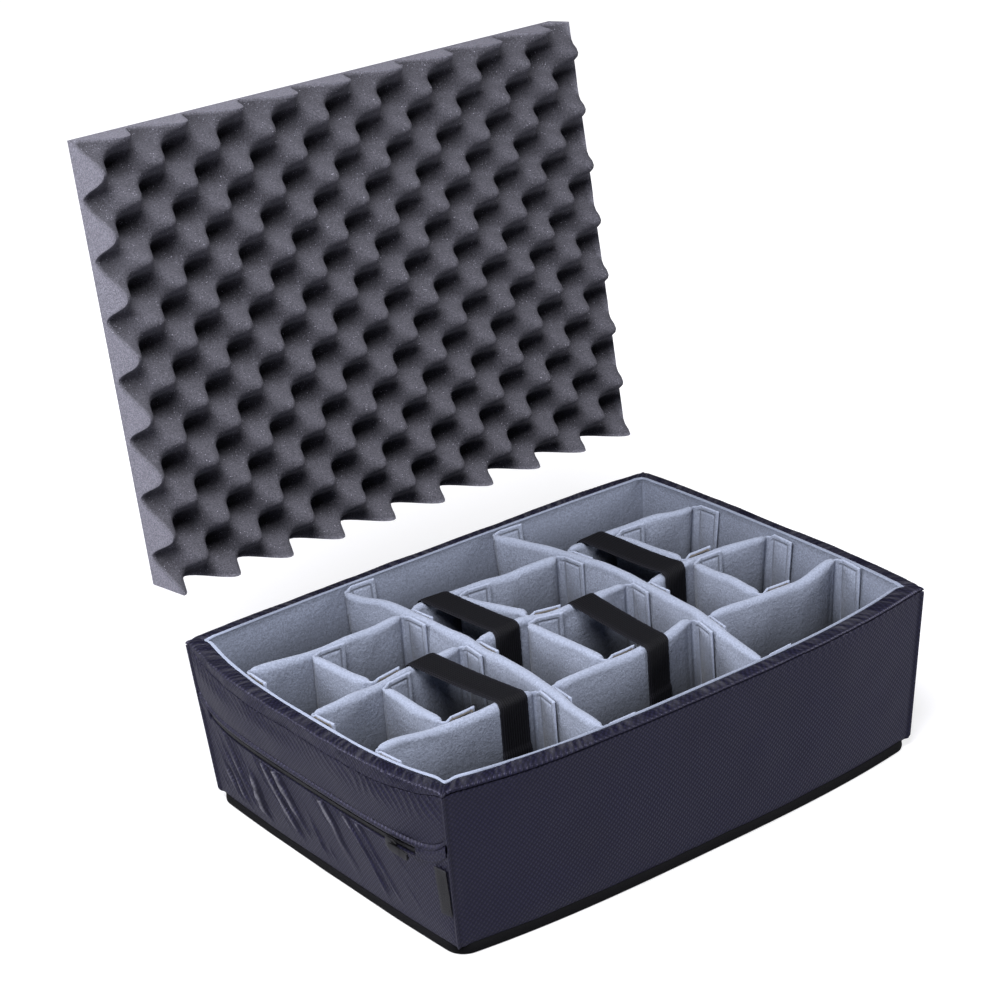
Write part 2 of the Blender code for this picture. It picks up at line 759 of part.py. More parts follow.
def ribbon_rings(line):
    """Rings of a flat band whose lower side follows a line of seats, offsets and heights."""
    places = []
    for (point, _, forward), offset, z in line:
        plan = point + forward * offset
        places.append(Vector((plan.x, plan.y, z)))
    rings = []
    for i, place in enumerate(places):
        way = line[i][0][1].to_3d()
        travel = places[min(i + 1, len(places) - 1)] - places[max(i - 1, 0)]
        up = travel.cross(way).normalized() * STRAP_THICKNESS
        side = way * STRAP_WIDTH / 2
        rings.append([place - side, place + side, place + side + up, place - side + up])
    return rings


def make_straps(cross):
    """Four webbing straps, each sewn over one cross divider and stuck to the next one."""
    reach = HALF_DIVIDER + STRAP_GAP
    crown = CROSS_DIVIDER_TOP + STRAP_GAP
    shoulder = CROSS_DIVIDER_TOP - HALF_DIVIDER
    for name, (behind, ahead, x_behind, x_ahead) in STRAP_SHARES.items():
        paths, lift = cross[behind]
        far = strap_seat(paths[1], x_behind * BOX_LENGTH / 2)
        near = strap_seat(cross[ahead][0][1], x_ahead * BOX_LENGTH / 2)
        anchor = [(far, -reach, shoulder - STRAP_ANCHOR_HANG)]
        anchor += crown_line(far, 0, pi / 2)
        anchor.append((far, STRAP_SPLIT - GAP, crown))
        free = [(far, STRAP_SPLIT, crown)]
        free += crown_line(near, pi / 2, pi)
        free.append((near, reach, shoulder - STRAP_HANG))
        loft(f"strap_{name}_anchor", ribbon_rings(anchor), "webbing", lift.location, lift)
        plan = far[0] + far[2] * STRAP_SPLIT
        place = (plan.x, plan.y, crown + STRAP_THICKNESS)
        hinge = pivot(f"strap_{name}_peel", place, lift)
        loft(f"strap_{name}", ribbon_rings(free), "webbing", place, hinge)


def pad_height(i, j):
    """The foam's thickness at a grid point: peaks and pits in a chequer of cosines."""
    long_turn = 2 * pi * i / PAD_STEPS
    short_turn = 2 * pi * j / PAD_STEPS
    wave = cos(long_turn) * cos(short_turn)
    return PAD_VALLEY + (PAD_THICKNESS - PAD_VALLEY) * (1 + wave) / 2


def make_pad():
    """The lid foam, leaning back behind the box, with its origin on its turning axis."""
    columns = round(PAD_LONG_PITCHES * PAD_STEPS)
    rows = round(PAD_SHORT_PITCHES * PAD_STEPS)
    foot = Vector((BOX_WIDTH / 2 + PAD_FOOT_BEHIND, BOX_HEIGHT + PAD_FOOT_ABOVE))
    closed = Vector((PAD_WIDTH / 2, BOX_HEIGHT + GAP + PAD_THICKNESS))
    turn = pi / 2 + PAD_LEAN
    travel = closed - foot
    quarter = Vector((-travel.y, travel.x))
    axis = (foot + closed) / 2 + quarter / (2 * tan(turn / 2))
    leaned = Matrix.Rotation(-PAD_LEAN, 3, "X")
    body = bmesh.new()

    def place(x, up, thick):
        local = leaned @ Vector((x, -thick, up))
        return body.verts.new((local.x, local.y + foot.x - axis.x, local.z + foot.y - axis.y))

    front = []
    for j in range(rows + 1):
        up = PAD_PITCH_SHORT * j / PAD_STEPS
        line = []
        for i in range(columns + 1):
            x = PAD_LEFT + PAD_PITCH_LONG * i / PAD_STEPS
            line.append(place(x, up, pad_height(i, j)))
        front.append(line)
    right = PAD_LEFT + PAD_LENGTH
    outline = ((PAD_LEFT, 0), (right, 0), (right, PAD_WIDTH), (PAD_LEFT, PAD_WIDTH))
    corners = [place(x, up, 0) for x, up in outline]
    for j in range(rows):
        for i in range(columns):
            quad = (front[j][i], front[j][i + 1], front[j + 1][i + 1], front[j + 1][i])
            body.faces.new(quad)
    body.faces.new(corners)
    body.faces.new([corners[0], *front[0], corners[1]])
    body.faces.new([corners[1], *[line[-1] for line in front], corners[2]])
    body.faces.new([corners[2], *reversed(front[-1]), corners[3]])
    body.faces.new([corners[3], *[line[0] for line in reversed(front)], corners[0]])
    finish_object("lid_foam", body, "pad_foam", (0, axis.x, axis.y))


def main():
    clear_scene()
    make_covers()
    make_wall_foams()
    make_base_cloth()
    make_base_board()
    make_lining()
    make_zip()
    make_label()
    long_paths = make_long_dividers()
    cross = make_cross_dividers(long_paths)
    make_short_dividers(cross)
    make_straps(cross)
    make_pad()


main()
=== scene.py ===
"""Dresses a camera bag insert: its cloth walls, zip, dividers, straps and lid foam.

Everything is in metres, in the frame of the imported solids, which are loaded first.
"""

from itertools import count
from math import cos, pi, radians, sin

import bpy
import numpy as np
from bpy.props import FloatProperty, FloatVectorProperty, IntProperty, PointerProperty
from mathutils import Matrix, Vector


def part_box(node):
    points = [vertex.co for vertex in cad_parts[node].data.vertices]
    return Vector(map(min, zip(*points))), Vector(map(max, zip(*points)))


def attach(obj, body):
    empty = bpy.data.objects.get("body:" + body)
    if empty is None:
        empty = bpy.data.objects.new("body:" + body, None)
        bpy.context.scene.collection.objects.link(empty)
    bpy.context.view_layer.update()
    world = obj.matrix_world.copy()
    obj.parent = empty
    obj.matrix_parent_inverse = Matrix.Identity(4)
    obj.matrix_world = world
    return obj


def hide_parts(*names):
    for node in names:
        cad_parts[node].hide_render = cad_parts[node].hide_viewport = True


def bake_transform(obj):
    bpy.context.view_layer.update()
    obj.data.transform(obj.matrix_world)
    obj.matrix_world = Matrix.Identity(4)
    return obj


bl_info = {
    "name": "Camera Bag Insert",
    "version": (1, 0, 0),
    "blender": (4, 5, 0),
    "location": "View3D > Sidebar > Bag Insert",
    "description": "Builds the cloth, foam, zip, dividers and straps of a camera bag insert",
    "category": "Add Mesh",
}

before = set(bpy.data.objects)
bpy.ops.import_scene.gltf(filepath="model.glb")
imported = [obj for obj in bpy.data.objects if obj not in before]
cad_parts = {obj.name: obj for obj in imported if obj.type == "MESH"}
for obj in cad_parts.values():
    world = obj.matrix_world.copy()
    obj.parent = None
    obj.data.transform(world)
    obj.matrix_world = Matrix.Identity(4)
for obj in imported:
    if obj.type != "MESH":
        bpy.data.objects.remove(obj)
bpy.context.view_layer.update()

mm = 0.001


def length_prop(name, description, default):
    return FloatProperty(name=name, description=description, default=default, unit="LENGTH")


def angle_prop(name, description, degrees):
    return FloatProperty(
        name=name, description=description, default=radians(degrees), subtype="ANGLE"
    )


def share_prop(name, description, default):
    return FloatProperty(name=name, description=description, default=default, min=0, max=1)


def power_prop(name, description, default):
    return FloatProperty(name=name, description=description, default=default, unit="POWER")


def colour_prop(name, description, default):
    return FloatVectorProperty(
        name=name, description=description, default=default, subtype="COLOR", min=0, max=1
    )


class InsertBoxSizes(bpy.types.PropertyGroup):
    """Sizes of the soft box."""

    length: length_prop("Length", "Between the ends of the rim's long sides", 457 * mm)
    width: length_prop("Width", "Between the ends of the rim's short sides", 331 * mm)
    height: length_prop("Height", "From the ground to the rim", 141 * mm)
    base_height: length_prop("Base height", "Height of the black cloth round the foot", 8 * mm)
    taper: length_prop("Taper", "How far each wall leans in at its foot", 8.8 * mm)
    waist: length_prop("Waist", "Height from which the rim sags", 90 * mm)
    front_bow: length_prop("Front bow", "How far the front rim bows out", 13 * mm)
    back_bow: length_prop("Back bow", "How far the back rim bows out", 11 * mm)
    right_bow: length_prop("Right bow", "How far the right rim bows out", 11 * mm)
    left_bow: length_prop("Left bow", "How far the left rim bows out", 12 * mm)
    front_foot_bow: length_prop("Front foot bow", "How far the front foot bows out", 13 * mm)
    back_foot_bow: length_prop("Back foot bow", "How far the back foot bows out", 7 * mm)
    right_foot_bow: length_prop("Right foot bow", "How far the right foot bows out", 5 * mm)
    left_foot_bow: length_prop("Left foot bow", "How far the left foot bows out", 3 * mm)
    rim_drop: length_prop("Rim drop", "How far the rim sags between the corners", 4 * mm)
    padding: length_prop("Padding", "Thickness of a wall without its lining", 11.3 * mm)
    lining: length_prop("Lining", "Thickness of the lining", 1.2 * mm)
    floor_top: length_prop("Floor", "Height of the floor inside", 15 * mm)


class InsertDividerSizes(bpy.types.PropertyGroup):
    """Sizes of the dividers."""

    long_top: length_prop("Long top", "Height of the top of a long divider", 136 * mm)
    cross_top: length_prop("Cross top", "Height of the top of a cross divider", 134 * mm)
    foot: length_prop("Foot", "Height of a divider's foot", 15.3 * mm)
    thickness: length_prop("Thickness", "Thickness of a divider", 8 * mm)
    puff: length_prop("Puff", "How much a divider's sides swell", 0.5 * mm)
    tab_width: length_prop("Tab width", "Width of a hook and loop tab", 25 * mm)
    tab_thickness: length_prop("Tab thickness", "Thickness of a tab", 2 * mm)
    seat_gap: length_prop("Seat gap", "Gap behind a tab", 0.8 * mm)
    hem: length_prop("Hem", "How far a tab's stitching is from its edge", 4 * mm)


class InsertStrapSizes(bpy.types.PropertyGroup):
    """Sizes of the webbing straps."""

    width: length_prop("Width", "Width of the webbing", 25.4 * mm)
    thickness: length_prop("Thickness", "Thickness of the webbing", 1.6 * mm)
    hang: length_prop("Hang", "How far the free end hangs", 46 * mm)
    anchor_hang: length_prop("Anchor hang", "How far the sewn end hangs", 42 * mm)
    gap: length_prop("Gap", "Gap under the webbing", 0.5 * mm)
    split: length_prop("Split", "From the first divider's middle to the peeling fold", 1 * mm)
    sag: length_prop("Sag", "How far the run between two dividers sags", 0.8 * mm)


class InsertZipSizes(bpy.types.PropertyGroup):
    """Sizes of the zip on the left wall."""

    height: length_prop("Height", "Height of the zip's middle", 77 * mm)
    opening: length_prop("Opening", "Gap between the two panels", 6 * mm)
    end_rise: length_prop("End rise", "How far the zip climbs at its ends", 17 * mm)
    tooth_pitch: length_prop("Tooth pitch", "Distance between two teeth", 2.4 * mm)


class InsertFoamSizes(bpy.types.PropertyGroup):
    """Sizes of the lid foam."""

    pitch_long: length_prop("Long pitch", "Distance between peaks along the foam", 49.2 * mm)
    pitch_short: length_prop("Short pitch", "Distance between peaks up the foam", 46.8 * mm)
    thickness: length_prop("Thickness", "Height of the peaks", 48 * mm)
    valley: length_prop("Valley", "Thickness under the pits", 7 * mm)
    lean: angle_prop("Lean", "How far it leans back", 7.3)
    steps: IntProperty(name="Steps", description="Points in one pitch", default=16, min=4)


class InsertColours(bpy.types.PropertyGroup):
    """Colours of the cloths and the foam."""

    nylon: colour_prop("Nylon", "Woven cover", (0.0042, 0.004, 0.0108))
    lining: colour_prop("Lining", "Loop cloth of the lining", (0.18, 0.203, 0.276))
    divider: colour_prop("Divider", "Loop cloth of the dividers", (0.23, 0.258, 0.345))
    webbing: colour_prop("Webbing", "Straps", (0.0034, 0.0034, 0.005))
    base: colour_prop("Base", "Cloth round the foot", (0.0022, 0.0022, 0.0028))
    foam: colour_prop("Foam", "Lid foam", (0.066, 0.065, 0.08))
    zip: colour_prop("Zip", "Tape, teeth and slider", (0.0035, 0.0035, 0.0045))
    label: colour_prop("Label", "Blank sewn label", (0.004, 0.004, 0.005))
    hook: colour_prop("Hook", "Hook side of the tabs", (0.16, 0.14, 0.12))


# Places of the dividers, as shares of half the box's length and half its width
LONG_SHARES = {
    "left": ((-0.38, 1), (-0.318, 0.63), (-0.302, 0.145), (-0.315, -0.37), (-0.372, -1)),
    "right": ((0.272, 1), (0.358, 0.63), (0.4, 0.145), (0.376, -0.37), (0.293, -1)),
}
CROSS_SHARES = {
    "left_back": ("wall", "left", ((-1, 0.545), (0, 0.555))),
    "left_middle": ("wall", "left", ((-1, 0), (-0.555, 0.09), (0, 0.115))),
    "left_front": ("wall", "left", ((-1, -0.475), (0, -0.48))),
    "middle_back": ("left", "right", ((-1, 0.6), (1, 0.565))),
    "middle_middle": ("left", "right", ((-1, 0.105), (-0.085, 0.126), (0.09, 0.065), (1, 0.086))),
    "middle_front": ("left", "right", ((-1, -0.49), (0.067, -0.506), (1, -0.455))),
    "right_back": ("right", "wall", ((0, 0.575), (0.57, 0.6), (0.735, 0.59), (1, 0.55))),
    "right_middle": ("right", "wall", ((0, 0.034), (0.6, 0.069), (0.79, 0.062), (1, 0.018))),
    "right_front": ("right", "wall", ((0, -0.44), (0.8, -0.505), (1, -0.475))),
}
SHORT_SHARES = {
    "left_back": ("left_back", "left_middle", -0.735, -0.7),
    "left_front": ("left_middle", "left_front", -0.704, -0.697),
    "middle_back": ("middle_back", "middle_middle", -0.102, -0.044),
    "middle_front": ("middle_middle", "middle_front", -0.061, -0.061),
    "right_back": ("right_back", "right_middle", 0.6, 0.632),
    "right_front": ("right_middle", "right_front", 0.637, 0.63),
}
STRAP_SHARES = {
    "left": ("left_middle", "left_front", -0.499, -0.455),
    "middle_back": ("middle_back", "middle_middle", -0.186, -0.157),
    "middle_front": ("middle_middle", "middle_front", 0.16, 0.1256),
    "right": ("right_back", "right_middle", 0.51, 0.538),
}


# Number helpers


def lattice(x, y, seed):
    """Smooth noise from -1 to 1 over two arrays, from a seeded table of values."""
    size = 64
    table = np.random.default_rng(seed).random((size, size)) * 2 - 1
    x, y = np.broadcast_arrays(np.asarray(x, float), np.asarray(y, float))
    left, low = np.floor(x).astype(int), np.floor(y).astype(int)
    a, b = x - left, y - low
    a, b = a * a * (3 - 2 * a), b * b * (3 - 2 * b)

    def value(i, j):
        return table[(left + i) % size, (low + j) % size]

    near = value(0, 0) * (1 - a) + value(1, 0) * a
    far = value(0, 1) * (1 - a) + value(1, 1) * a
    return near * (1 - b) + far * b


def ease(low, high, value):
    """A smooth step from 0 at low to 1 at high."""
    t = np.clip((np.asarray(value, float) - low) / (high - low), 0, 1)
    return t * t * (3 - 2 * t)


def crest(phase, sharpness):
    """A row of crests, one for each whole number of the phase."""
    return (0.5 + 0.5 * np.cos(2 * pi * phase)) ** sharpness


def unit(rows):
    return rows / np.maximum(np.linalg.norm(rows, axis=-1, keepdims=True), 1e-12)


def run_lengths(rows):
    """How far each row of a line lies from its start."""
    gaps = np.linalg.norm(np.diff(rows, axis=0), axis=1)
    return np.concatenate([[0], np.cumsum(gaps)])


def squared(value, power):
    """A sine or cosine whose round is drawn out towards a square by a power under 1."""
    return np.sign(value) * np.abs(value) ** power


# Mesh helpers


def ring_faces(rings, points, closed=True):
    """Quads between neighbouring rings, as rows of four point numbers."""
    steps = points if closed else points - 1
    i, j = np.meshgrid(np.arange(rings - 1), np.arange(steps), indexing="ij")
    a = i * points + j
    b = i * points + (j + 1) % points
    return np.stack([a, b, b + points, a + points], -1).reshape(-1, 4)


def make_piece(name, points, faces, layers=None, sharp=radians(40)):
    """A mesh object from points and faces, with a number or a vector for each point."""
    mesh = bpy.data.meshes.new(name)
    points = np.asarray(points).reshape(-1, 3).tolist()
    mesh.from_pydata(points, [], [list(map(int, face)) for face in faces])
    for layer, values in (layers or {}).items():
        values = np.asarray(values, np.float32)
        single = values.size == len(mesh.vertices)
        kind, key = ("FLOAT", "value") if single else ("FLOAT_VECTOR", "vector")
        attribute = mesh.attributes.new(layer, kind, "POINT")
        attribute.data.foreach_set(key, values.ravel())
    mesh.polygons.foreach_set("use_smooth", [True] * len(mesh.polygons))
    mesh.set_sharp_from_angle(angle=sharp)
    mesh.validate()
    mesh.update()
    piece = bpy.data.objects.new(name, mesh)
    bpy.context.scene.collection.objects.link(piece)
    return piece


def sweep(name, rings, layers=None, sharp=radians(40)):
    """A closed solid through rings of points, capped at both ends."""
    rings = np.asarray(rings, float)
    length, size = rings.shape[:2]
    body = ring_faces(length, size)
    faces = [list(face) for face in body]
    faces.append(list(range(size))[::-1])
    faces.append([(length - 1) * size + k for k in range(size)])
    flat = rings.reshape(-1, 3)
    a, b, c, d = (flat[body[:, k]] for k in range(4))
    volume = np.einsum("ij,ij->", a, np.cross(b, c) + np.cross(c, d))
    if volume < 0:
        faces = [face[::-1] for face in faces]
    return make_piece(name, flat, faces, layers, sharp)


# Shader helpers


class Wire:
    """A socket of a node tree, on which Python's operators add Math nodes."""

    def __init__(self, recipe, socket):
        self.recipe = recipe
        self.socket = socket

    def maths(self, operation, *values):
        sockets = dict(enumerate(values))
        return self.recipe.node("ShaderNodeMath", {"operation": operation}, sockets)

    def __add__(self, other):
        return self.maths("ADD", self, other)

    def __sub__(self, other):
        return self.maths("SUBTRACT", self, other)

    def __mul__(self, other):
        return self.maths("MULTIPLY", self, other)

    def __rsub__(self, other):
        return self.maths("SUBTRACT", other, self)

    __radd__ = __add__
    __rmul__ = __mul__

    def sine(self):
        return self.maths("SINE", self)

    def between(self, low, high):
        """A smooth step from 0 at low to 1 at high."""
        settings = {"interpolation_type": "SMOOTHSTEP"}
        return self.recipe.node(
            "ShaderNodeMapRange", settings, {"Value": self, "From Min": low, "From Max": high}
        )


class Recipe:
    """One material, or the world: its nodes are added by node()."""

    def __init__(self, name, world=None):
        self.material = world or bpy.data.materials.new(name)
        self.material.use_nodes = True
        self.tree = self.material.node_tree
        if world:
            self.tree.nodes.clear()
        else:
            self.shader = self.tree.nodes["Principled BSDF"]

    def node(self, kind, settings, sockets, output=0):
        """Adds a node: its settings first, then values or links for its sockets."""
        made = self.tree.nodes.new(kind)
        for key, value in settings.items():
            if key == "ramp":
                self.set_ramp(made.color_ramp, value)
            else:
                setattr(made, key, value)
        for key, value in sockets.items():
            self.plug(made.inputs[key], value)
        return Wire(self, made.outputs[output]) if output is not None else made

    def set_ramp(self, ramp, stops):
        while len(ramp.elements) < len(stops):
            ramp.elements.new(1)
        for element, (place, colour) in zip(ramp.elements, stops):
            element.position = place
            element.color = (*colour, 1)

    def plug(self, socket, value):
        if isinstance(value, Wire):
            self.tree.links.new(value.socket, socket)
        elif hasattr(value, "__len__") and len(value) == 3 and socket.type == "RGBA":
            socket.default_value = (*value, 1)
        else:
            socket.default_value = value

    def number(self, name):
        """A number that is stored on the mesh's points."""
        settings = {"attribute_type": "GEOMETRY", "attribute_name": name}
        return self.node("ShaderNodeAttribute", settings, {}, "Fac")

    def cloth(self):
        """The cloth's own coordinates: along it, across it, in metres."""
        settings = {"attribute_type": "GEOMETRY", "attribute_name": "cloth"}
        place = self.node("ShaderNodeAttribute", settings, {}, "Vector")
        along = self.node("ShaderNodeSeparateXYZ", {}, {0: place}, "X")
        across = self.node("ShaderNodeSeparateXYZ", {}, {0: place}, "Y")
        return place, along, across

    def place(self):
        return self.node("ShaderNodeTexCoord", {}, {}, "Object")

    def grain(self, where, pitch, detail=2, roughness=0.5, distortion=0):
        """Noise whose features are about a pitch apart."""
        sockets = {
            "Vector": where,
            "Scale": 1 / pitch,
            "Detail": detail,
            "Roughness": roughness,
            "Distortion": distortion,
        }
        return self.node("ShaderNodeTexNoise", {}, sockets, "Fac")

    def blend(self, share, first, second):
        """A colour between two colours."""
        settings = {"data_type": "RGBA", "clamp_factor": True}
        sockets = {0: share, 6: first, 7: second}
        return self.node("ShaderNodeMix", settings, sockets, 2)

    def bump(self, height, depth, base=None):
        """A normal from a height, whose full range is a depth in metres."""
        sockets = {"Height": height, "Distance": depth, "Strength": 1}
        if base:
            sockets["Normal"] = base
        return self.node("ShaderNodeBump", {}, sockets, "Normal")

    def finish(self, **sockets):
        for name, value in sockets.items():
            self.plug(self.shader.inputs[name.replace("_", " ")], value)
        return self.material


def shade(colour, factor):
    return tuple(min(part * factor, 1) for part in colour)


# Pale nylon for rubbed spots, also painted as highlight on the rim's top and on fold crests
RUBBED_NYLON_AND_HIGHLIGHT = (0.09, 0.0895, 0.105)
FOAM_CELL = 1.0 * mm


def woven_nylon(name, colour):
    """Dull nylon: a small raised diamond weave, a soft shine, rubbed spots, painted highlights and
    painted shadow.
    """
    recipe = Recipe(name)
    where, along, across = recipe.cloth()
    turns = pi / (2.1 * mm)
    diamonds = ((along * turns).sine() * (across * turns).sine()).between(-0.3, 0.8)
    threads = recipe.grain(where, 0.35 * mm, 2)
    cloudy = recipe.grain(recipe.place(), 38 * mm, 3, 0.55)
    worn = recipe.number("worn")
    light = recipe.blend(cloudy, shade(colour, 0.55), shade(colour, 0.95))
    light = recipe.blend(diamonds * (0.25 + cloudy * 0.6), light, shade(colour, 3.4))
    # Paler where the rim is rubbed, with painted highlight on the rim's top and on fold crests
    light = recipe.blend(worn * worn * worn, light, RUBBED_NYLON_AND_HIGHLIGHT)
    # Darker in the seams, and painted shadow beside each fold
    light = recipe.blend(recipe.number("seam"), light, shade(colour, 0.25))
    weave = recipe.bump(diamonds, 0.2 * mm)
    rough = 0.4 + cloudy * 0.14 - diamonds * 0.06 + recipe.number("seam") * 0.5
    return recipe.finish(
        Base_Color=light,
        Roughness=rough,
        Normal=recipe.bump(threads, 0.07 * mm, weave),
        Specular_IOR_Level=0.36,
        Specular_Tint=(0.68, 0.66, 1),
    )


def brushed_cloth(name, colour, hook):
    """Brushed loop cloth: a short mottled pile, darker in its seams, paler on edges and tops (tops
    a painted highlight), painted shade lower down.
    """
    recipe = Recipe(name)
    where = recipe.place()
    pile = recipe.grain(where, 1.5 * mm, 4, 0.7)
    tufts = recipe.grain(where, 3.2 * mm, 3, 0.6, 0.4)
    cloudy = recipe.grain(where, 24 * mm, 3, 0.5)
    light = recipe.blend(pile.between(0.32, 0.68), shade(colour, 0.72), shade(colour, 1.2))
    light = recipe.blend(cloudy.between(0.35, 0.65) * 0.35, light, shade(colour, 0.88))
    # Paler on rubbed edges, and on the dividers' tops as a painted highlight
    light = recipe.blend(recipe.number("worn") * 0.5, light, shade(colour, 1.5))
    # Painted shade, darker further down in the box and its cells
    light = recipe.blend(recipe.number("deep"), light, shade(colour, 0.14))
    light = recipe.blend(recipe.number("hook"), light, hook)
    light = recipe.blend(recipe.number("seam"), light, shade(colour, 0.5))
    soft = recipe.bump(tufts, 0.6 * mm)
    return recipe.finish(
        Base_Color=light,
        Roughness=0.95,
        Normal=recipe.bump(pile, 0.35 * mm, soft),
        Sheen_Weight=0.08,
        Sheen_Roughness=0.6,
        Specular_IOR_Level=0.1,
    )


def ribbed_webbing(name, colour):
    """Black webbing: lengthwise ribs, crossed by fine threads, with a faint shine."""
    recipe = Recipe(name)
    where, along, across = recipe.cloth()
    rib, thread = 2.1 * mm, 1.1 * mm
    ribs = (across * (2 * pi / rib)).sine() * 0.5 + 0.5
    threads = (along * (2 * pi / thread) + across * (pi / rib)).sine() * 0.5 + 0.5
    fuzz = recipe.grain(where, 0.5 * mm, 3)
    weave = ribs * (0.6 + threads * 0.4)
    light = recipe.blend(weave, shade(colour, 0.45), shade(colour, 2.1))
    light = recipe.blend(recipe.number("worn"), light, shade(colour, 5))
    light = recipe.blend(recipe.number("seam"), light, shade(colour, 0.25))
    return recipe.finish(
        Base_Color=light,
        Roughness=0.62 + fuzz * 0.15,
        Normal=recipe.bump(weave + fuzz * 0.25, 0.45 * mm),
        Specular_IOR_Level=0.14,
    )


def felted_base(name, colour):
    """Black bonded cloth, dull and slightly hairy."""
    recipe = Recipe(name)
    where = recipe.place()
    fuzz = recipe.grain(where, 1.1 * mm, 4, 0.65)
    lint = recipe.grain(where, 5 * mm, 2, 0.5).between(0.62, 0.78)
    light = recipe.blend(fuzz, shade(colour, 0.6), shade(colour, 2.2))
    light = recipe.blend(lint * 0.4, light, shade(colour, 4))
    return recipe.finish(
        Base_Color=light,
        Roughness=0.92,
        Normal=recipe.bump(fuzz, 0.5 * mm),
        Specular_IOR_Level=0.12,
    )


def open_foam(name, colour):
    """Open-cell foam: fine pores, scattered pale cells, a paler skin on its cut sides, and painted
    shade in its pits.
    """
    recipe = Recipe(name)
    where = recipe.place()
    sockets = {"Vector": where, "Scale": 1 / FOAM_CELL}
    cells = recipe.node("ShaderNodeTexVoronoi", {"feature": "F1"}, sockets, "Distance")
    grain = recipe.grain(where, 1.3 * mm, 4, 0.7)
    cloudy = recipe.grain(where, 30 * mm, 3, 0.5)
    sparks = recipe.grain(where, 1.1 * mm, 1, 0.4).between(0.68, 0.8)
    light = recipe.blend(grain.between(0.35, 0.65), shade(colour, 0.6), shade(colour, 1.4))
    light = recipe.blend(cloudy * 0.4, light, shade(colour, 1.15))
    # Painted shade in the pits between the peaks
    light = recipe.blend(recipe.number("deep"), light, shade(colour, 0.14))
    pale = recipe.blend(grain.between(0.38, 0.62), shade(colour, 2.0), shade(colour, 3.6))
    light = recipe.blend(recipe.number("worn"), light, pale)
    light = recipe.blend(sparks * 0.75, light, shade(colour, 6))
    pores = recipe.bump(cells, 0.4 * mm)
    return recipe.finish(
        Base_Color=light,
        Roughness=0.96,
        Normal=recipe.bump(grain, 0.5 * mm, pores),
        Specular_IOR_Level=0.1,
    )


def zip_coil(name, colour, roughness, shine):
    """Black tape, coil and enamel, with light rubbing on the high spots."""
    recipe = Recipe(name)
    where = recipe.place()
    grain = recipe.grain(where, 0.6 * mm, 3)
    rub = recipe.grain(where, 4 * mm, 3, 0.6).between(0.55, 0.75)
    light = recipe.blend(grain, shade(colour, 0.7), shade(colour, 1.6))
    light = recipe.blend(rub * 0.5, light, shade(colour, 4))
    return recipe.finish(
        Base_Color=light,
        Roughness=roughness + grain * 0.15,
        Normal=recipe.bump(grain, 0.05 * mm),
        Metallic=shine,
    )


def plain_label(name, colour):
    """A blank black satin label with a fine cross weave."""
    recipe = Recipe(name)
    _, along, across = recipe.cloth()
    warp, weft = 2 * pi / (0.5 * mm), 2 * pi / (0.7 * mm)
    threads = (along * warp).sine() * (across * weft).sine()
    light = recipe.blend(threads.between(-1, 1), shade(colour, 0.6), shade(colour, 1.8))
    light = recipe.blend(recipe.number("worn"), light, shade(colour, 8))
    return recipe.finish(
        Base_Color=light,
        Roughness=0.45,
        Normal=recipe.bump(threads, 0.06 * mm),
        Specular_IOR_Level=0.3,
    )


def dress(piece, material, body, slot_name, *nodes):
    """Gives a piece its material and body, and hides what it stands for; the record slot is not
    used.
    """
    piece.data.materials.clear()
    piece.data.materials.append(material)
    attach(piece, body)
    if nodes:
        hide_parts(*nodes)
    return piece


FINISHES = {
    "nylon": lambda name, tints: woven_nylon(name, tints.nylon),
    "lining": lambda name, tints: brushed_cloth(name, tints.lining, tints.hook),
    "divider_cloth": lambda name, tints: brushed_cloth(name, tints.divider, tints.hook),
    "webbing": lambda name, tints: ribbed_webbing(name, tints.webbing),
    "base_cloth": lambda name, tints: felted_base(name, tints.base),
    "pad_foam": lambda name, tints: open_foam(name, tints.foam),
    "zip_chain": lambda name, tints: zip_coil(name, tints.zip, 0.5, 0),
    "zip_metal": lambda name, tints: zip_coil(name, tints.zip, 0.3, 0.6),
    "label": lambda name, tints: plain_label(name, tints.label),
}


def finish_named(slot_name):
    """The look of a record slot, made the first time that a piece needs it."""
    name = f"look_{slot_name}"
    if name in bpy.data.materials:
        return bpy.data.materials[name]
    return FINISHES[slot_name](name, bpy.context.scene.insert_colours)


# Walls of the box


def wall_table(box):
    """Each wall: the way along it, the way out, half its run, half the box across it, its bows."""
    half_x, half_y = box.length / 2, box.width / 2
    return {
        "front": ((1, 0), (0, -1), half_x, half_y, (box.front_foot_bow, box.front_bow)),
        "right": ((0, 1), (1, 0), half_y, half_x, (box.right_foot_bow, box.right_bow)),
        "back": ((-1, 0), (0, 1), half_x, half_y, (box.back_foot_bow, box.back_bow)),
        "left": ((0, -1), (-1, 0), half_y, half_x, (box.left_foot_bow, box.left_bow)),
    }


def wall_points(box, wall, u, inset, z):
    """Points of a wall at shares of its run, insets from its outer face, and heights."""
    along, out, half_run, half_depth, (foot_bow, rim_bow) = wall_table(box)[wall]
    u, inset, z = np.broadcast_arrays(*(np.asarray(part, float) for part in (u, inset, z)))
    climb = np.clip((z - box.base_height) / (box.height - box.base_height), 0, 1)
    narrow = inset + box.taper * (1 - climb)
    belly = 1 - np.abs(u) ** 3
    run = (half_run - narrow) * u
    reach = half_depth - narrow + (foot_bow + (rim_bow - foot_bow) * climb) * belly
    drop = box.rim_drop * np.clip((z - box.waist) / (box.height - box.waist), 0, None) * belly
    x = along[0] * run + out[0] * reach
    y = along[1] * run + out[1] * reach
    return np.stack([x, y, z - drop], -1)


def corner_pinch(box, wall, u, reach):
    """1 at the ends of a wall, falling to 0 at a reach from them."""
    half_run = wall_table(box)[wall][2]
    return 1 - ease(0, reach, (1 - np.abs(u)) * half_run)


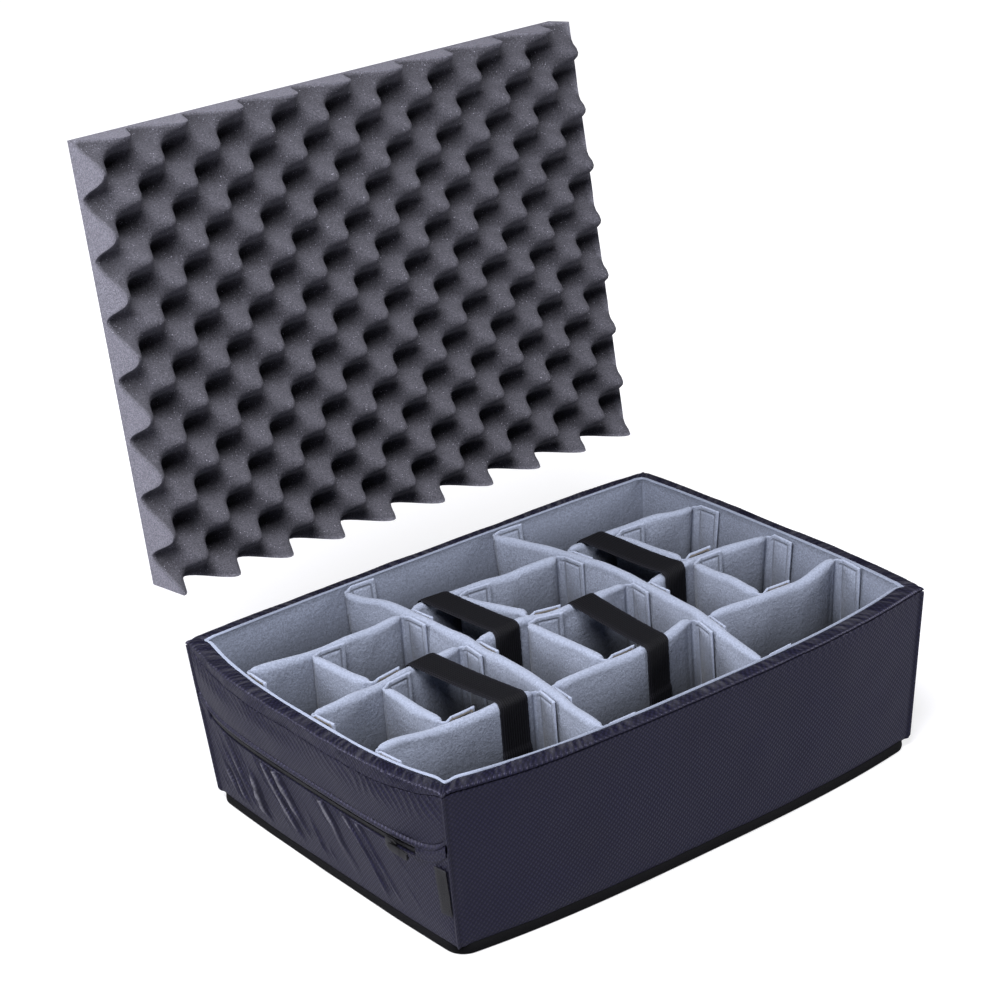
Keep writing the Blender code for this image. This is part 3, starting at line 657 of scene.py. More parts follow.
def stations(box, wall, step):
    """Shares of a wall's run, closer together towards the corners."""
    half_run = wall_table(box)[wall][2]
    t = np.linspace(0, 1, int(half_run / step) + 1)
    half = np.sin(t * pi / 2) * 0.35 + t * 0.65
    return np.concatenate([-half[:0:-1], half])


def rim_width(box, wall, u):
    """From the outer face to the lining at the rim, which the corner seams draw in."""
    return box.padding - 1.2 * mm * corner_pinch(box, wall, u, 12 * mm)


def rim_dip(box, wall, u):
    return 1.3 * mm * corner_pinch(box, wall, u, 8 * mm)


def band_depth(wall, u):
    """How far the rim's gathered band reaches down the outer face."""
    if wall != "left":
        return 3.6 * mm + 0 * np.asarray(u, float)
    return 3.6 * mm + 10 * mm * (1 - np.abs(u) ** 5)


# Rows of a wall's section over its face: share of the band that they lie under, more drop
# and inset in millimetres, the way that a wrinkle moves them (out, up), and their kind
FACE, GATHERED_SEAM, RIM, HIDDEN = range(4)
SEAM_ROWS = (
    (1, 2.4, 0, -1, 0, FACE),
    (1, 1.5, 0, -1, 0, FACE),
    (1, 0.85, 0.1, -1, 0, FACE),
    (1, 0.5, 0.9, -1, 0, GATHERED_SEAM),
    (1, 0.15, 1.8, -1, 0, GATHERED_SEAM),
    (1, -0.2, 1.8, -1, 0, GATHERED_SEAM),
    (1, -0.5, 0.7, -1, 0, GATHERED_SEAM),
    (1, -0.85, -0.2, -1, 0, RIM),
)
BAND_STEPS = 8
SHOULDER_ROWS = (
    (0, 2.1, 0.1, -1, 0.1, RIM),
    (0, 1.4, 0.45, -0.9, 0.4, RIM),
    (0, 0.8, 1.0, -0.7, 0.7, RIM),
    (0, 0.35, 1.8, -0.4, 0.9, RIM),
    (0, 0.05, 2.8, -0.1, 1, RIM),
    (0, -0.25, 4.2, 0, 1, RIM),
    (0, -0.4, 5.8, 0, 1, RIM),
    (0, -0.45, 7.4, 0, 1, RIM),
    (0, -0.3, 8.9, 0, 1, RIM),
    (0, 0.05, 10.1, 0, 1, RIM),
    (0, 0.7, 10.9, 0.4, 0.6, RIM),
    (0, 1.7, 11.3, 0, 0, HIDDEN),
)
HEM_ROWS = (
    (0, 2.4, 0, -1, 0, FACE),
    (0, 1.6, 0, -1, 0, FACE),
    (0, 1.0, -0.35, -1, 0, RIM),
    (0, 0.5, -0.2, -1, 0, RIM),
    (0, 0.15, 0.3, -0.7, 0.4, RIM),
    (0, 0, 0.9, 0, 0.3, RIM),
    (0, 0.1, 1.4, 0, 0, HIDDEN),
    (0, 0.5, 1.7, 0, 0, HIDDEN),
    (0, 0.6, 11.3, 0, 0, HIDDEN),
)
INSIDE_ROWS = ((0.5, 0, 11.3, 0, 0, HIDDEN), (0, 0, 11.3, 0, 0, HIDDEN))
FACE_STEPS = 40
FACE_BELOW_BAND = 3.4 * mm


def wall_section(has_rim):
    """Rows from the foot up the face, round the top edge and down the inside."""
    face = [(t, 0, 0, -1, 0, FACE) for t in np.linspace(0, 1, FACE_STEPS)]
    if not has_rim:
        return np.array([*face, *HEM_ROWS, *INSIDE_ROWS], float)
    band = []
    for t in np.linspace(0.9, 0.08, BAND_STEPS):
        band.append((t, 2.3 * (1 - t) - 0.85 * t, 0, -1, 0, RIM))
    return np.array([*face, *SEAM_ROWS, *band, *SHOULDER_ROWS, *INSIDE_ROWS], float)


# Gathers under each wall's rim: their slant, pitch, depth and reach
PUCKERS = {
    "left": (0.55, 8 * mm, 1.1 * mm, 26 * mm),
    "front": (0.5, 7 * mm, 0.35 * mm, 16 * mm),
    "right": (0.4, 8 * mm, 0.35 * mm, 14 * mm),
    "back": (0.4, 9 * mm, 0.35 * mm, 14 * mm),
}
GATHER_DEPTHS = {"left": 0.5 * mm, "front": 0.2 * mm, "right": 0.25 * mm, "back": 0.25 * mm}
TUCK_PITCH = 3.7 * mm


def puckers(wall, run, below, seed):
    """Gathers that the binding draws under a rim; below is the distance under its seam."""
    slant, pitch, depth, reach = PUCKERS[wall]
    bend = 1.1 * lattice(run / (26 * mm), below / (30 * mm), seed)
    phase = (run - slant * below) / pitch + bend
    strength = 0.6 + 0.4 * lattice(run / (31 * mm), below / (12 * mm), seed + 1)
    coarse = depth * strength * (1 - ease(reach * 0.3, reach, below)) * (crest(phase, 1.5) - 0.4)
    fine_bend = 0.5 * lattice(run / (9 * mm), 0 * run, seed + 2)
    fine_phase = (run - 0.3 * below) / TUCK_PITCH + fine_bend
    fine = 0.3 * depth * (1 - ease(0, 7 * mm, below)) * (crest(fine_phase, 1) - 0.5)
    return coarse + fine


def rim_gathers(wall, run, across, seed):
    """Small slanting tucks across the rim's band; across is the distance from its seam."""
    depth = GATHER_DEPTHS[wall]
    bend = 1.4 * lattice(run / (13 * mm), across / (7 * mm), seed)
    phase = (run + 0.75 * across) / (3.6 * mm) + bend
    strength = np.clip(0.5 + 0.7 * lattice(run / (15 * mm), across / (8 * mm), seed + 1), 0.1, 1.2)
    wide = 0.9 * depth * lattice(run / (11 * mm), across / (9 * mm), seed + 2)
    return depth * strength * (crest(phase, 1.4) - 0.4) + wide


FOLD_TILT = radians(52)
FOLD_PITCH = 15 * mm
FOLD_MIDDLE = -15 * mm


def long_folds(run, z, seed):
    """Slack folds in the panel under the zip; they run down towards the front."""
    across = run * sin(FOLD_TILT) + z * cos(FOLD_TILT)
    along = run * cos(FOLD_TILT) - z * sin(FOLD_TILT)
    phase = across / FOLD_PITCH + 0.8 * lattice(along / (60 * mm), across / (30 * mm), seed)
    strength = np.clip(0.45 + 1.2 * lattice(along / (80 * mm), across / (17 * mm), seed + 2), 0, 1)
    ends = (1 - ease(100 * mm, 150 * mm, np.abs(run - FOLD_MIDDLE))) * ease(10 * mm, 30 * mm, z)
    wobble = lattice(along / (45 * mm), across / (18 * mm), seed + 4)
    fine = 0.25 * crest(across / (6.5 * mm) + 1.2 * wobble, 2)
    return strength * ends * (crest(phase, 7) - 0.2 + fine)


def sway(run, z, seed, depth):
    """Broad shallow unevenness of a stuffed cloth wall."""
    broad = lattice(run / (75 * mm), z / (55 * mm), seed)
    return depth * (broad + 0.4 * lattice(run / (28 * mm), z / (24 * mm), seed + 5))


class WallPanel:
    """The points of one padded panel: rows of its section at stations along the wall."""

    def __init__(self, wall, foot, top, seed, has_rim, step):
        self.box = bpy.context.scene.insert_box
        self.wall, self.seed, self.has_rim = wall, seed, has_rim
        self.u = stations(self.box, wall, step)
        self.foot, self.top = self.level(foot), self.level(top)
        columns = [column[None, :] for column in wall_section(has_rim).T]
        self.share, self.more, self.section, self.out, self.up, self.kind = columns
        self.face = self.kind == FACE
        self.lay_rows()
        self.draw_in()

    def level(self, height):
        """A height, which may change along the wall, as a column."""
        heights = height(self.u) if callable(height) else np.full(len(self.u), height)
        return heights[:, None]

    def near_corner(self, reach):
        return corner_pinch(self.box, self.wall, self.u, reach)[:, None]

    def lay_rows(self):
        """Heights of the rows, before any wrinkle."""
        box, top, foot = self.box, self.top, self.foot
        self.band = band_depth(self.wall, self.u)[:, None] if self.has_rim else 0
        dip = rim_dip(box, self.wall, self.u)[:, None] if self.has_rim else 0
        face_top = top - self.band - FACE_BELOW_BAND
        z = top - self.share * self.band - self.more * mm
        last = self.share.size - len(INSIDE_ROWS)
        row = np.arange(self.share.size)[None, :]
        climbs = (row < FACE_STEPS) | (row >= last)
        z = np.where(climbs, foot + (face_top - foot) * self.share, z)
        self.z = z - dip * ease(box.waist, box.height, z)
        self.run = wall_table(box)[self.wall][2] * self.u[:, None] + 0 * z

    def draw_in(self):
        """Insets of the rows: the gathered seam, the narrow rim and the ridge at each corner."""
        width = self.box.padding
        if self.has_rim:
            width = rim_width(self.box, self.wall, self.u)[:, None]
        bend = 0.5 * lattice(self.run / (9 * mm), 0 * self.run, self.seed + 12)
        self.tuck = 0.45 + 0.55 * crest(self.run / TUCK_PITCH + bend, 1)
        inset = self.section * mm * np.where(self.kind >= RIM, width / self.box.padding, 1)
        inset = np.where(self.kind == GATHERED_SEAM, inset * self.tuck, inset)
        under_top = ease(0, 10 * mm, self.top - self.z + 4 * mm)
        ridge = 1.5 * mm * self.near_corner(2.6 * mm) * (self.kind < HIDDEN) * under_top
        self.inset = inset - ridge

    def sew_foot(self, topstitch):
        """The turned edge at the foot, with a welt under a line of stitches over the zip."""
        above = self.z - self.foot
        hem = 1.0 * mm * (1 - ease(0, 1.8 * mm, above)) * self.face
        self.stitch = 0
        if topstitch:
            self.stitch = np.exp(-(((above - topstitch) / (0.8 * mm)) ** 2)) * self.face
            welt = ease(0, 1.2 * mm, above) * (1 - ease(topstitch - 1.5 * mm, topstitch, above))
            flat = 1 - self.near_corner(16 * mm)
            hem = hem + (1.1 * self.stitch * self.tuck - 0.9 * welt * flat * self.face) * mm
        self.inset = self.inset + hem

    def wrinkle(self, folds):
        """Sways, puckers, gathers and folds, which fade at the corners and towards the foot."""
        run, z, seed = self.run, self.z, self.seed
        offset = sway(run, z, seed, 0.9 * mm)
        if self.has_rim:
            below = np.maximum(self.top - self.band - 0.9 * mm - z, 0)
            across = self.band + self.section * mm - (self.top - z)
            offset = offset + puckers(self.wall, run, below, seed + 10) * self.face
            offset = offset + rim_gathers(self.wall, run, across, seed + 30) * (self.kind == RIM)
        self.fold, self.shadow = 0, 0
        if folds:
            self.fold = long_folds(run, z, seed + 20) * self.face
            # The folds moved 5 mm along, painted later as a shadow beside each crest
            self.shadow = long_folds(run - 5 * mm, z, seed + 20) * self.face
            offset = offset + folds * self.fold
        ends = 1 - self.near_corner(9 * mm)
        edge = np.clip((z - self.foot) / (14 * mm), 0.25, 1)
        offset = np.where(self.kind == HIDDEN, 0, offset * ends * edge)
        self.inset = self.inset + self.out * offset
        self.z = z + self.up * offset

    def marks(self):
        """What the nylon reads: its own coordinates, rubbed rims, painted highlights, dark seams
        and painted shadow.
        """
        z, tuck = self.z, self.tuck
        streaks = lattice(self.run / (2.2 * mm), (self.section * mm - z) / (9 * mm), self.seed + 3)
        # Rubbed streaks along the rim and hem, paler where they face up: that part is a painted
        # highlight
        worn = (self.kind == RIM) * (0.25 + 0.3 * np.clip(self.up, 0, 1)) * (0.75 + 0.6 * streaks)
        # Painted highlight along each fold's crest
        worn = worn + np.clip(2.4 * self.fold - 0.3, 0, 1) * self.face
        seam = (self.kind == GATHERED_SEAM) * (0.35 + 0.65 * (1 - tuck))
        seam = seam + 0.8 * self.stitch * (1 - tuck)
        # Painted shadow beside each fold's crest
        seam = np.maximum(seam, np.clip(2 * self.shadow - 0.2, 0, 0.8))
        groove = (self.near_corner(4.5 * mm) - self.near_corner(2.4 * mm)).clip(0, 1)
        seam = np.maximum(seam, 0.85 * groove * (z < self.top - 6 * mm))
        cloth = np.stack([self.run, z - self.inset, 0 * z], -1)
        return {"cloth": cloth, "worn": worn + 0 * z, "seam": seam + 0 * z}


def make_wall(
    name, wall, foot, top, nodes, seed, folds=0, has_rim=True, topstitch=0, step=1.2 * mm
):
    """One padded wall panel with its wrinkles, as a closed solid."""
    panel = WallPanel(wall, foot, top, seed, has_rim, step)
    panel.sew_foot(topstitch)
    panel.wrinkle(folds)
    rings = wall_points(panel.box, wall, panel.u[:, None], panel.inset, panel.z)
    piece = sweep(name, rings, panel.marks())
    dress(piece, finish_named("nylon"), "box", "nylon", *nodes)
    return piece


def zip_line(u):
    """Height of the zip's middle at shares of the left wall's run."""
    sizes = bpy.context.scene.insert_zip
    return sizes.height + sizes.end_rise * np.abs(u) ** 12


# First numbers of the random draws, and the step from one piece to the next
WALL_SEEDS = (11, 40)
LEFT_UPPER_SEED, LEFT_LOWER_SEED = 171, 211
DIVIDER_SEEDS = (300, 9)
STRAP_SEEDS = (700, 7)


class INSERT_OT_walls(bpy.types.Operator):
    """Make the padded nylon walls of the box"""

    bl_idname = "insert.make_walls"
    bl_label = "Walls"

    def execute(self, context):
        box = context.scene.insert_box
        zipper = context.scene.insert_zip
        foot = box.base_height + 0.3 * mm
        for seed, wall in zip(count(*WALL_SEEDS), ("front", "right", "back")):
            nodes = (f"cover_{wall}", f"foam_board_{wall}")
            make_wall(f"padded_wall_{wall}", wall, foot, box.height, nodes, seed)
        half = zipper.opening / 2
        make_wall(
            "padded_wall_left_upper",
            "left",
            lambda u: zip_line(u) + half,
            box.height,
            ("cover_left_upper", "foam_board_left"),
            LEFT_UPPER_SEED,
            topstitch=5.5 * mm,
            step=0.8 * mm,
        )
        make_wall(
            "padded_wall_left_lower",
            "left",
            foot,
            lambda u: zip_line(u) - half,
            ("cover_left_lower",),
            LEFT_LOWER_SEED,
            folds=3.2 * mm,
            has_rim=False,
            step=1 * mm,
        )
        return {"FINISHED"}


# Lining


# How much painted shade darkens the lining, the dividers and the foam's pits, and how far down
LINING_SHADE, LINING_SHADE_REACH = 0.95, 68 * mm
DIVIDER_SHADE, DIVIDER_SHADE_REACH = 0.96, 60 * mm
PIT_SHADE = 0.54


def lining_loop(box, inset, z, step):
    """A loop round the inside of the walls, at an inset and a height."""
    points, run_all, corner = [], [], []
    start = 0
    for wall in ("front", "right", "back", "left"):
        u = stations(box, wall, step)[:-1]
        width = rim_width(box, wall, u) - box.padding
        near_rim = ease(box.waist, box.height, z)
        dip = rim_dip(box, wall, u) * near_rim
        ripple = sway(u * 0.2 + start, np.full(len(u), z), 71, 0.5 * mm)
        ripple = ripple * (inset > box.padding + mm)
        depth = inset + width * near_rim + ripple
        points.append(wall_points(box, wall, u, depth, z - dip))
        run_all.append(start + wall_table(box)[wall][2] * (1 + u))
        corner.append(corner_pinch(box, wall, u, 1.5 * mm))
        start += 2 * wall_table(box)[wall][2]
    return np.concatenate(points), np.concatenate(run_all), np.concatenate(corner)


class INSERT_OT_lining(bpy.types.Operator):
    """Make the loop cloth lining and its pale edge inside the rim"""

    bl_idname = "insert.make_lining"
    bl_label = "Lining"

    def execute(self, context):
        box = context.scene.insert_box
        outer = box.padding + 0.3 * mm
        inner = outer + box.lining
        edge = box.height + 0.3 * mm
        outside = [(outer, z) for z in np.linspace(box.floor_top, edge - 1.5 * mm, 14)]
        rolled_edge = [
            (outer - 0.9 * mm, edge - 0.5 * mm),
            (outer - 0.4 * mm, edge + 0.3 * mm),
            (inner - 0.1 * mm, edge + 0.3 * mm),
            (inner + 0.5 * mm, edge - 0.5 * mm),
        ]
        inside = [(inner, z) for z in np.linspace(edge - 1.6 * mm, box.floor_top + 3 * mm, 26)]
        floor = [(inner + 1 * mm, box.floor_top + 1 * mm), (inner + 3 * mm, box.floor_top)]
        underside = (outer, box.floor_top - box.lining)
        plan = [underside, *outside, *rolled_edge, *inside, *floor]
        rings, cloth, worn, seam, deep = [], [], [], [], []
        for inset, z in plan:
            loop, run, corner = lining_loop(box, inset, z, 2.4 * mm)
            # Painted shade, darker further below the rim
            shade_here = LINING_SHADE * ease(3 * mm, LINING_SHADE_REACH, edge - z)
            deep.append(0 * run + shade_here)
            rings.append(loop)
            cloth.append(np.stack([run, 0 * run + z, 0 * run], -1))
            # Paler along the top of the rolled edge, most on the zipped side: partly its own pale
            # tone, partly a painted highlight
            zipped = ease(box.length * 0.4, box.length * 0.45, -loop[:, 0])
            worn.append((0.4 + 1.4 * zipped) * float(z > edge - 1.0 * mm))
            seam.append(corner * 0.85 * (z < edge - 3 * mm))
        layers = {"cloth": cloth, "worn": worn, "seam": seam, "deep": deep}
        piece = sweep("lining", rings, layers)
        dress(piece, finish_named("lining"), "box", "lining", "lining_tub")
        return {"FINISHED"}


# Base


def foot_loop(box, outset, radius, z, steps=10, side=40):
    """A rounded rectangle round the foot of the walls, with extra points along its sides."""
    half_x = box.length / 2 - box.taper + outset
    half_y = box.width / 2 - box.taper + outset
    corners = ((1, 1), (-1, 1), (-1, -1), (1, -1))
    points = []
    for quarter, (sx, sy) in enumerate(corners):
        for step in range(steps + 1):
            turn = pi / 2 * (quarter + step / steps)
            x = sx * (half_x - radius) + radius * cos(turn)
            y = sy * (half_y - radius) + radius * sin(turn)
            points.append((x, y))
        nx, ny = corners[(quarter + 1) % 4]
        turn = pi / 2 * (quarter + 1)
        stop_x = nx * (half_x - radius) + radius * cos(turn)
        stop_y = ny * (half_y - radius) + radius * sin(turn)
        for step in range(1, side):
            t = step / side
            points.append((x + (stop_x - x) * t, y + (stop_y - y) * t))
    plan = np.array(points)
    moved = plan.copy()
    for along, out, half_run, _, (bow, _) in wall_table(box).values():
        along, out = np.array(along), np.array(out)
        belly = 1 - np.clip(np.abs(plan @ along) / (half_run - box.taper), 0, 1) ** 3
        moved += out * (bow * belly * (plan @ out > 0))[:, None]
    return np.column_stack([moved, np.full(len(plan), z)])


# The base cloth's foot: outset and height in millimetres
FOOT_ROWS = ((-6.0, 0), (-3.0, 0), (-1.2, 0.5), (-0.1, 1.6), (0.7, 3.2), (0.9, 5.2))
MEAN_REACH = 200 * mm


class INSERT_OT_base(bpy.types.Operator):
    """Make the black cloth that wraps the foot of the box"""

    bl_idname = "insert.make_base"
    bl_label = "Base"

    def execute(self, context):
        box = context.scene.insert_box
        high = box.base_height + 2.2 * mm
        rows = [(outset * mm, z * mm) for outset, z in FOOT_ROWS]
        rows += [(0.6 * mm, high - 1.2 * mm), (-0.2 * mm, high), (-1.6 * mm, high)]
        rings = []
        for outset, z in rows:
            loop = foot_loop(box, outset, 13 * mm + outset, z)
            around = np.arctan2(loop[:, 1], loop[:, 0])
            wobble = 0.5 * mm * lattice(around * 9, np.full(len(around), z / (6 * mm)), 31)
            lift = ease(0.5 * mm, 3 * mm, z)
            loop[:, :2] *= 1 + (wobble * lift / MEAN_REACH)[:, None]
            loop[:, 2] += 0.6 * mm * lattice(around * 13, 0 * around, 37) * ease(5 * mm, 9 * mm, z)
            rings.append(loop)
        piece = sweep("base_wrap", rings)
        dress(piece, finish_named("base_cloth"), "box", "base_cloth", "base_cloth", "base_board")
        return {"FINISHED"}


# Zip


# The tape's section: inset and height from the zip's middle, in millimetres
TAPE_SECTION = (
    (1.9, -5.2),
    (1.5, -2.6),
    (1.9, -1.5),
    (1.9, 1.5),
    (1.5, 2.6),
    (1.9, 5.2),
    (3.4, 5.2),
    (3.4, -5.2),
)
TAPE_SHARE = 0.97
TEETH_SHARE = 0.9
TOOTH_OUTLINE = ((-0.5, -0.5), (0.5, -0.5), (0.8, 0), (0.5, 0.5), (-0.5, 0.5))
TOOTH_INSETS = (1.75 * mm, 0.75 * mm)
TOOTH_LENGTH = 2.2 * mm
TOOTH_MESH = 0.25 * mm
# The patches sewn over the tape's ends: the side and the start of each
PATCH_STARTS = {"front": (1, 129.5 * mm), "back": (-1, 150 * mm)}
PATCH_HALF_WIDTH = 4.6 * mm
PATCH_HALF_THICKNESS = 0.75 * mm
PATCH_CORNER_GAP = 2.2 * mm
SLIDER_RINGS, PULL_RINGS = 15, 25


def middle_and_half(node):
    """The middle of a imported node's box, and half its size."""
    low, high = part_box(node)
    return (low + high) / 2, (high - low) / 2


def bar_ring(middle, y, out, width, power, points, shift=0):
    """A ring of points square to Y, with half its depth along X and half its width along Z."""
    ring = []
    for turn in np.linspace(0, 2 * pi, points + 1)[:-1]:
        x = middle.x + shift + squared(cos(turn), power) * out
        ring.append((x, y, middle.z + squared(sin(turn), 0.6) * width))
    return ring


class INSERT_OT_zip(bpy.types.Operator):
    """Make the zip across the left wall: tape, teeth, slider and pull"""

    bl_idname = "insert.make_zip"
    bl_label = "Zip"

    def execute(self, context):
        box = context.scene.insert_box
        u = stations(box, "left", 2.5 * mm)
        u = u[np.abs(u) < TAPE_SHARE][:, None]
        inset, rise = np.array(TAPE_SECTION).T[:, None, :] * mm
        rings = wall_points(box, "left", u, inset, zip_line(u) + rise)
        tape = sweep("zip_tape", rings)
        dress(tape, finish_named("zip_chain"), "box", "zip_chain", "zip_chain")
        for end, (side, start) in PATCH_STARTS.items():
            self.make_garage(box, end, side, start)
        self.make_teeth(box, context.scene.insert_zip.tooth_pitch)
        self.make_slider()
        self.make_pull()
        return {"FINISHED"}

    def make_garage(self, box, end, side, start):
        """The patch of cloth sewn over one end of the zip, as far as the corner."""
        half_run = box.width / 2
        rings, cloth = [], []
        stop = half_run - PATCH_CORNER_GAP
        turns = np.linspace(0, 2 * pi, 25)[:-1]
        across = squared(np.sin(turns), 0.35) * PATCH_HALF_WIDTH
        ripple = 0.3 * mm * np.sin(across / (1.1 * mm)) * (np.abs(across) < 3.6 * mm)
        for run in [start, *np.linspace(start + 0.5 * mm, stop - 0.5 * mm, 20), stop]:
            thin = 1 if start < run < stop else 0.3
            run = run * side
            line = float(zip_line(run / half_run)) - 0.5 * mm
            out = squared(np.cos(turns), 0.35) * PATCH_HALF_THICKNESS * thin
            inset = -0.2 * mm - out - ripple * (out > 0)
            rings.append(wall_points(box, "left", run / half_run, inset, line + across))
            cloth.append(np.column_stack([0 * across + run, across, 0 * across]))
        worn = np.full(len(rings) * len(turns), 0.12)
        patch = sweep(f"zip_garage_{end}", rings, {"cloth": cloth, "worn": worn, "seam": 0 * worn})
        dress(patch, finish_named("nylon"), "box", "nylon")

    def make_teeth(self, box, pitch):
        """Two rows of small rounded teeth that mesh along the zip's middle."""
        half_run = box.width / 2
        corner_count = len(TOOTH_OUTLINE)
        points, faces = [], []
        for k in range(int(2 * half_run * TEETH_SHARE / pitch)):
            for side in (-1, 1):
                share = ((k + 0.25 * side + 0.5) * pitch - half_run * TEETH_SHARE) / half_run
                line = float(zip_line(share)) + side * TOOTH_MESH
                low = np.arange(corner_count) + len(points)
                for inset in TOOTH_INSETS:
                    for a, b in TOOTH_OUTLINE:
                        run = share + b * pitch * 0.36 / half_run
                        height = line - side * a * TOOTH_LENGTH
                        points.append(wall_points(box, "left", run, inset, height))
                top = low + corner_count
                faces += [low[::side], top[::-side]]
                for n in range(corner_count):
                    m = (n + 1) % corner_count
                    faces.append([low[n], top[n], top[m], low[m]][::side])
        teeth = make_piece("zip_teeth", np.array(points), faces)
        dress(teeth, finish_named("zip_chain"), "box", "zip_chain")

    def make_slider(self):
        """A domed, waisted slider with a bridge for its pull."""
        middle, half = middle_and_half("zip_slider")
        rings = []
        for t in np.linspace(-1, 1, SLIDER_RINGS):
            nose = 1 - 0.25 * max(t - 0.7, 0) / 0.3
            width = half.z * (0.62 + 0.38 * float(ease(-1, -0.2, t))) * nose
            out = -half.x * 0.55 * (1 - 0.35 * t * t)
            rings.append(bar_ring(middle, middle.y + t * half.y, out, width, 0.7, 16, -0.6 * mm))
        slider = sweep("slider", rings)
        dress(slider, finish_named("zip_metal"), "zip_slider", "zip_metal", "zip_slider")

    def make_pull(self):
        """A tapered pull tab with a ring end."""
        middle, half = middle_and_half("zip_pull")
        rings = []
        for t in np.linspace(-1, 1, PULL_RINGS):
            taper = float(ease(0.9, 0.2, abs(t + 0.35))) if t < 0 else 1 - 0.55 * t
            width = half.z * (0.72 + 0.28 * taper) * float(np.sqrt(max(1 - abs(t) ** 14, 0.02)))
            out = half.x * 0.9 * (0.75 if -0.82 < t < -0.2 else 1)
            rings.append(bar_ring(middle, middle.y + t * half.y, out, width, 0.5, 12))
        pull = sweep("pull_tab", rings)
        dress(pull, finish_named("zip_metal"), "zip_pull", "zip_metal", "zip_pull")


# Label


# The label: its width as a share of the box's, and how far its length falls short
LABEL_SHARE = 0.036
LABEL_TURNED_IN = 6 * mm
LABEL_HALF_THICKNESS = 0.35 * mm


class INSERT_OT_label(bpy.types.Operator):
    """Make the blank folded label at the front end of the left wall"""

    bl_idname = "insert.make_label"
    bl_label = "Label"

    def execute(self, context):
        box = context.scene.insert_box
        low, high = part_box("side_label")
        length = high.z - low.z - LABEL_TURNED_IN
        across = np.array([0, 0.15, 0.35, 0.55, 0.75, 1])
        rings, cloth, worn = [], [], []
        for t in np.linspace(0, 1, 26):
            z = low.z + 4 * mm + length * t
            share = 0.985 - 0.012 * t - 2 * LABEL_SHARE * across
            lift = 0.9 * mm + 1.1 * mm * across * (1 - 0.5 * t)
            lift = lift + 0.25 * mm * np.sin(9 * t + 2 * across)
            front = wall_points(box, "left", share, -lift - LABEL_HALF_THICKNESS, z)
            back = wall_points(box, "left", share, -lift + LABEL_HALF_THICKNESS, z)
            rings.append(np.concatenate([front, back[::-1]]))
            place = np.column_stack([across * 12 * mm, 0 * across + z, 0 * across])
            cloth.append(np.concatenate([place, place[::-1]]))
            edge = np.where((across == 1) | (t < 0.03) | (t > 0.97), 0.5, 0.0)
            worn.append(np.concatenate([edge, 0 * edge]))
        piece = sweep("label", rings, {"cloth": cloth, "worn": worn})
        dress(piece, finish_named("label"), "box", "label", "side_label")
        return {"FINISHED"}


# Dividers


def facing(way, towards):
    """The direction square to a way in plan that faces another direction."""
    side = Vector((-way.y, way.x))
    return side if side.dot(towards) > 0 else -side


def plan_point(box, shares):
    return Vector((shares[0] * box.length / 2, shares[1] * box.width / 2))


def wall_end(box, sizes, wall, place, lead, fold, top):
    """Where a divider meets the lining, low and high: a point, the tab's way and the way in."""
    along, out, half_run, _, _ = wall_table(box)[wall]
    along, out = Vector(along), Vector(out)
    inner = box.padding + 0.3 * mm + box.lining

    def seat(spot, z):
        climb = (z - box.base_height) / (box.height - box.base_height)
        run = spot * (along.x + along.y)
        u = run / (half_run - inner - box.taper * (1 - climb))
        return Vector(wall_points(box, wall, u, inner, z)[:2])

    step = fold.x + fold.y
    half = sizes.thickness / 2
    spine = seat(place, top) - lead
    drawn = (seat(place, sizes.foot) - lead).dot(out) / spine.dot(out)
    low_place = (lead + spine * drawn).dot(along) * (along.x + along.y)
    levels = []
    for spot, z in ((low_place, sizes.foot), (place, top)):
        start = seat(spot - half * step, z)
        stop = seat(spot + (half + sizes.tab_width) * step, z)
        way = (stop - start).normalized()
        levels.append((start + way * half, way, facing(way, -out)))
    return levels


def divider_end(sizes, paths, axis, place, towards, fold):
    """Where a divider meets the side of another one, low and high, as wall_end gives it."""
    levels = []
    for path in paths:
        for start, stop in zip(path, path[1:]):
            share = (place - start[axis]) / (stop[axis] - start[axis])
            if 0 <= share <= 1:
                break
        way = (stop - start).normalized()
        way = way if way.dot(fold) > 0 else -way
        inward = facing(way, towards)
        levels.append((start.lerp(stop, share) + inward * sizes.thickness / 2, way, inward))
    return levels


def body_paths(sizes, first, middle, last):
    """The plan line of a divider's padded body, low and high."""
    depth = sizes.seat_gap + sizes.tab_thickness * 5
    paths = []
    for level in (0, 1):
        starts = first[level][0] + first[level][2] * depth
        stops = last[level][0] + last[level][2] * depth
        paths.append([starts, *middle, stops])
    return paths


# Stations of a tab: distance in millimetres back from its edge, from its stitching or out
# from its fold, share of its half thickness, and 1 on a line of stitches
TAB_EDGE = ((0.0, 0.35, 0), (0.4, 0.8, 0), (1.2, 1.1, 0))
TAB_HEM = (
    (-1.0, 1.35, 0),
    (-0.4, 0.6, 1),
    (0.4, 0.6, 1),
    (1.2, 0.95, 0),
    (3, 0.95, 0),
    (7, 0.95, 0),
)
TAB_ROOT = ((1.0, 0.95, 0), (0.5, 0.55, 1), (-0.5, 0.55, 1), (-1.0, 1.05, 0))
TAB_FOLD_RADIUS = 3.0 * mm
# The body's first stations: distance from the fold and half thickness, in millimetres
BODY_SWELL = ((1.0, 1.7), (2.0, 2.6), (3.2, 3.3), (5.0, 3.8), (7.2, 4.1))


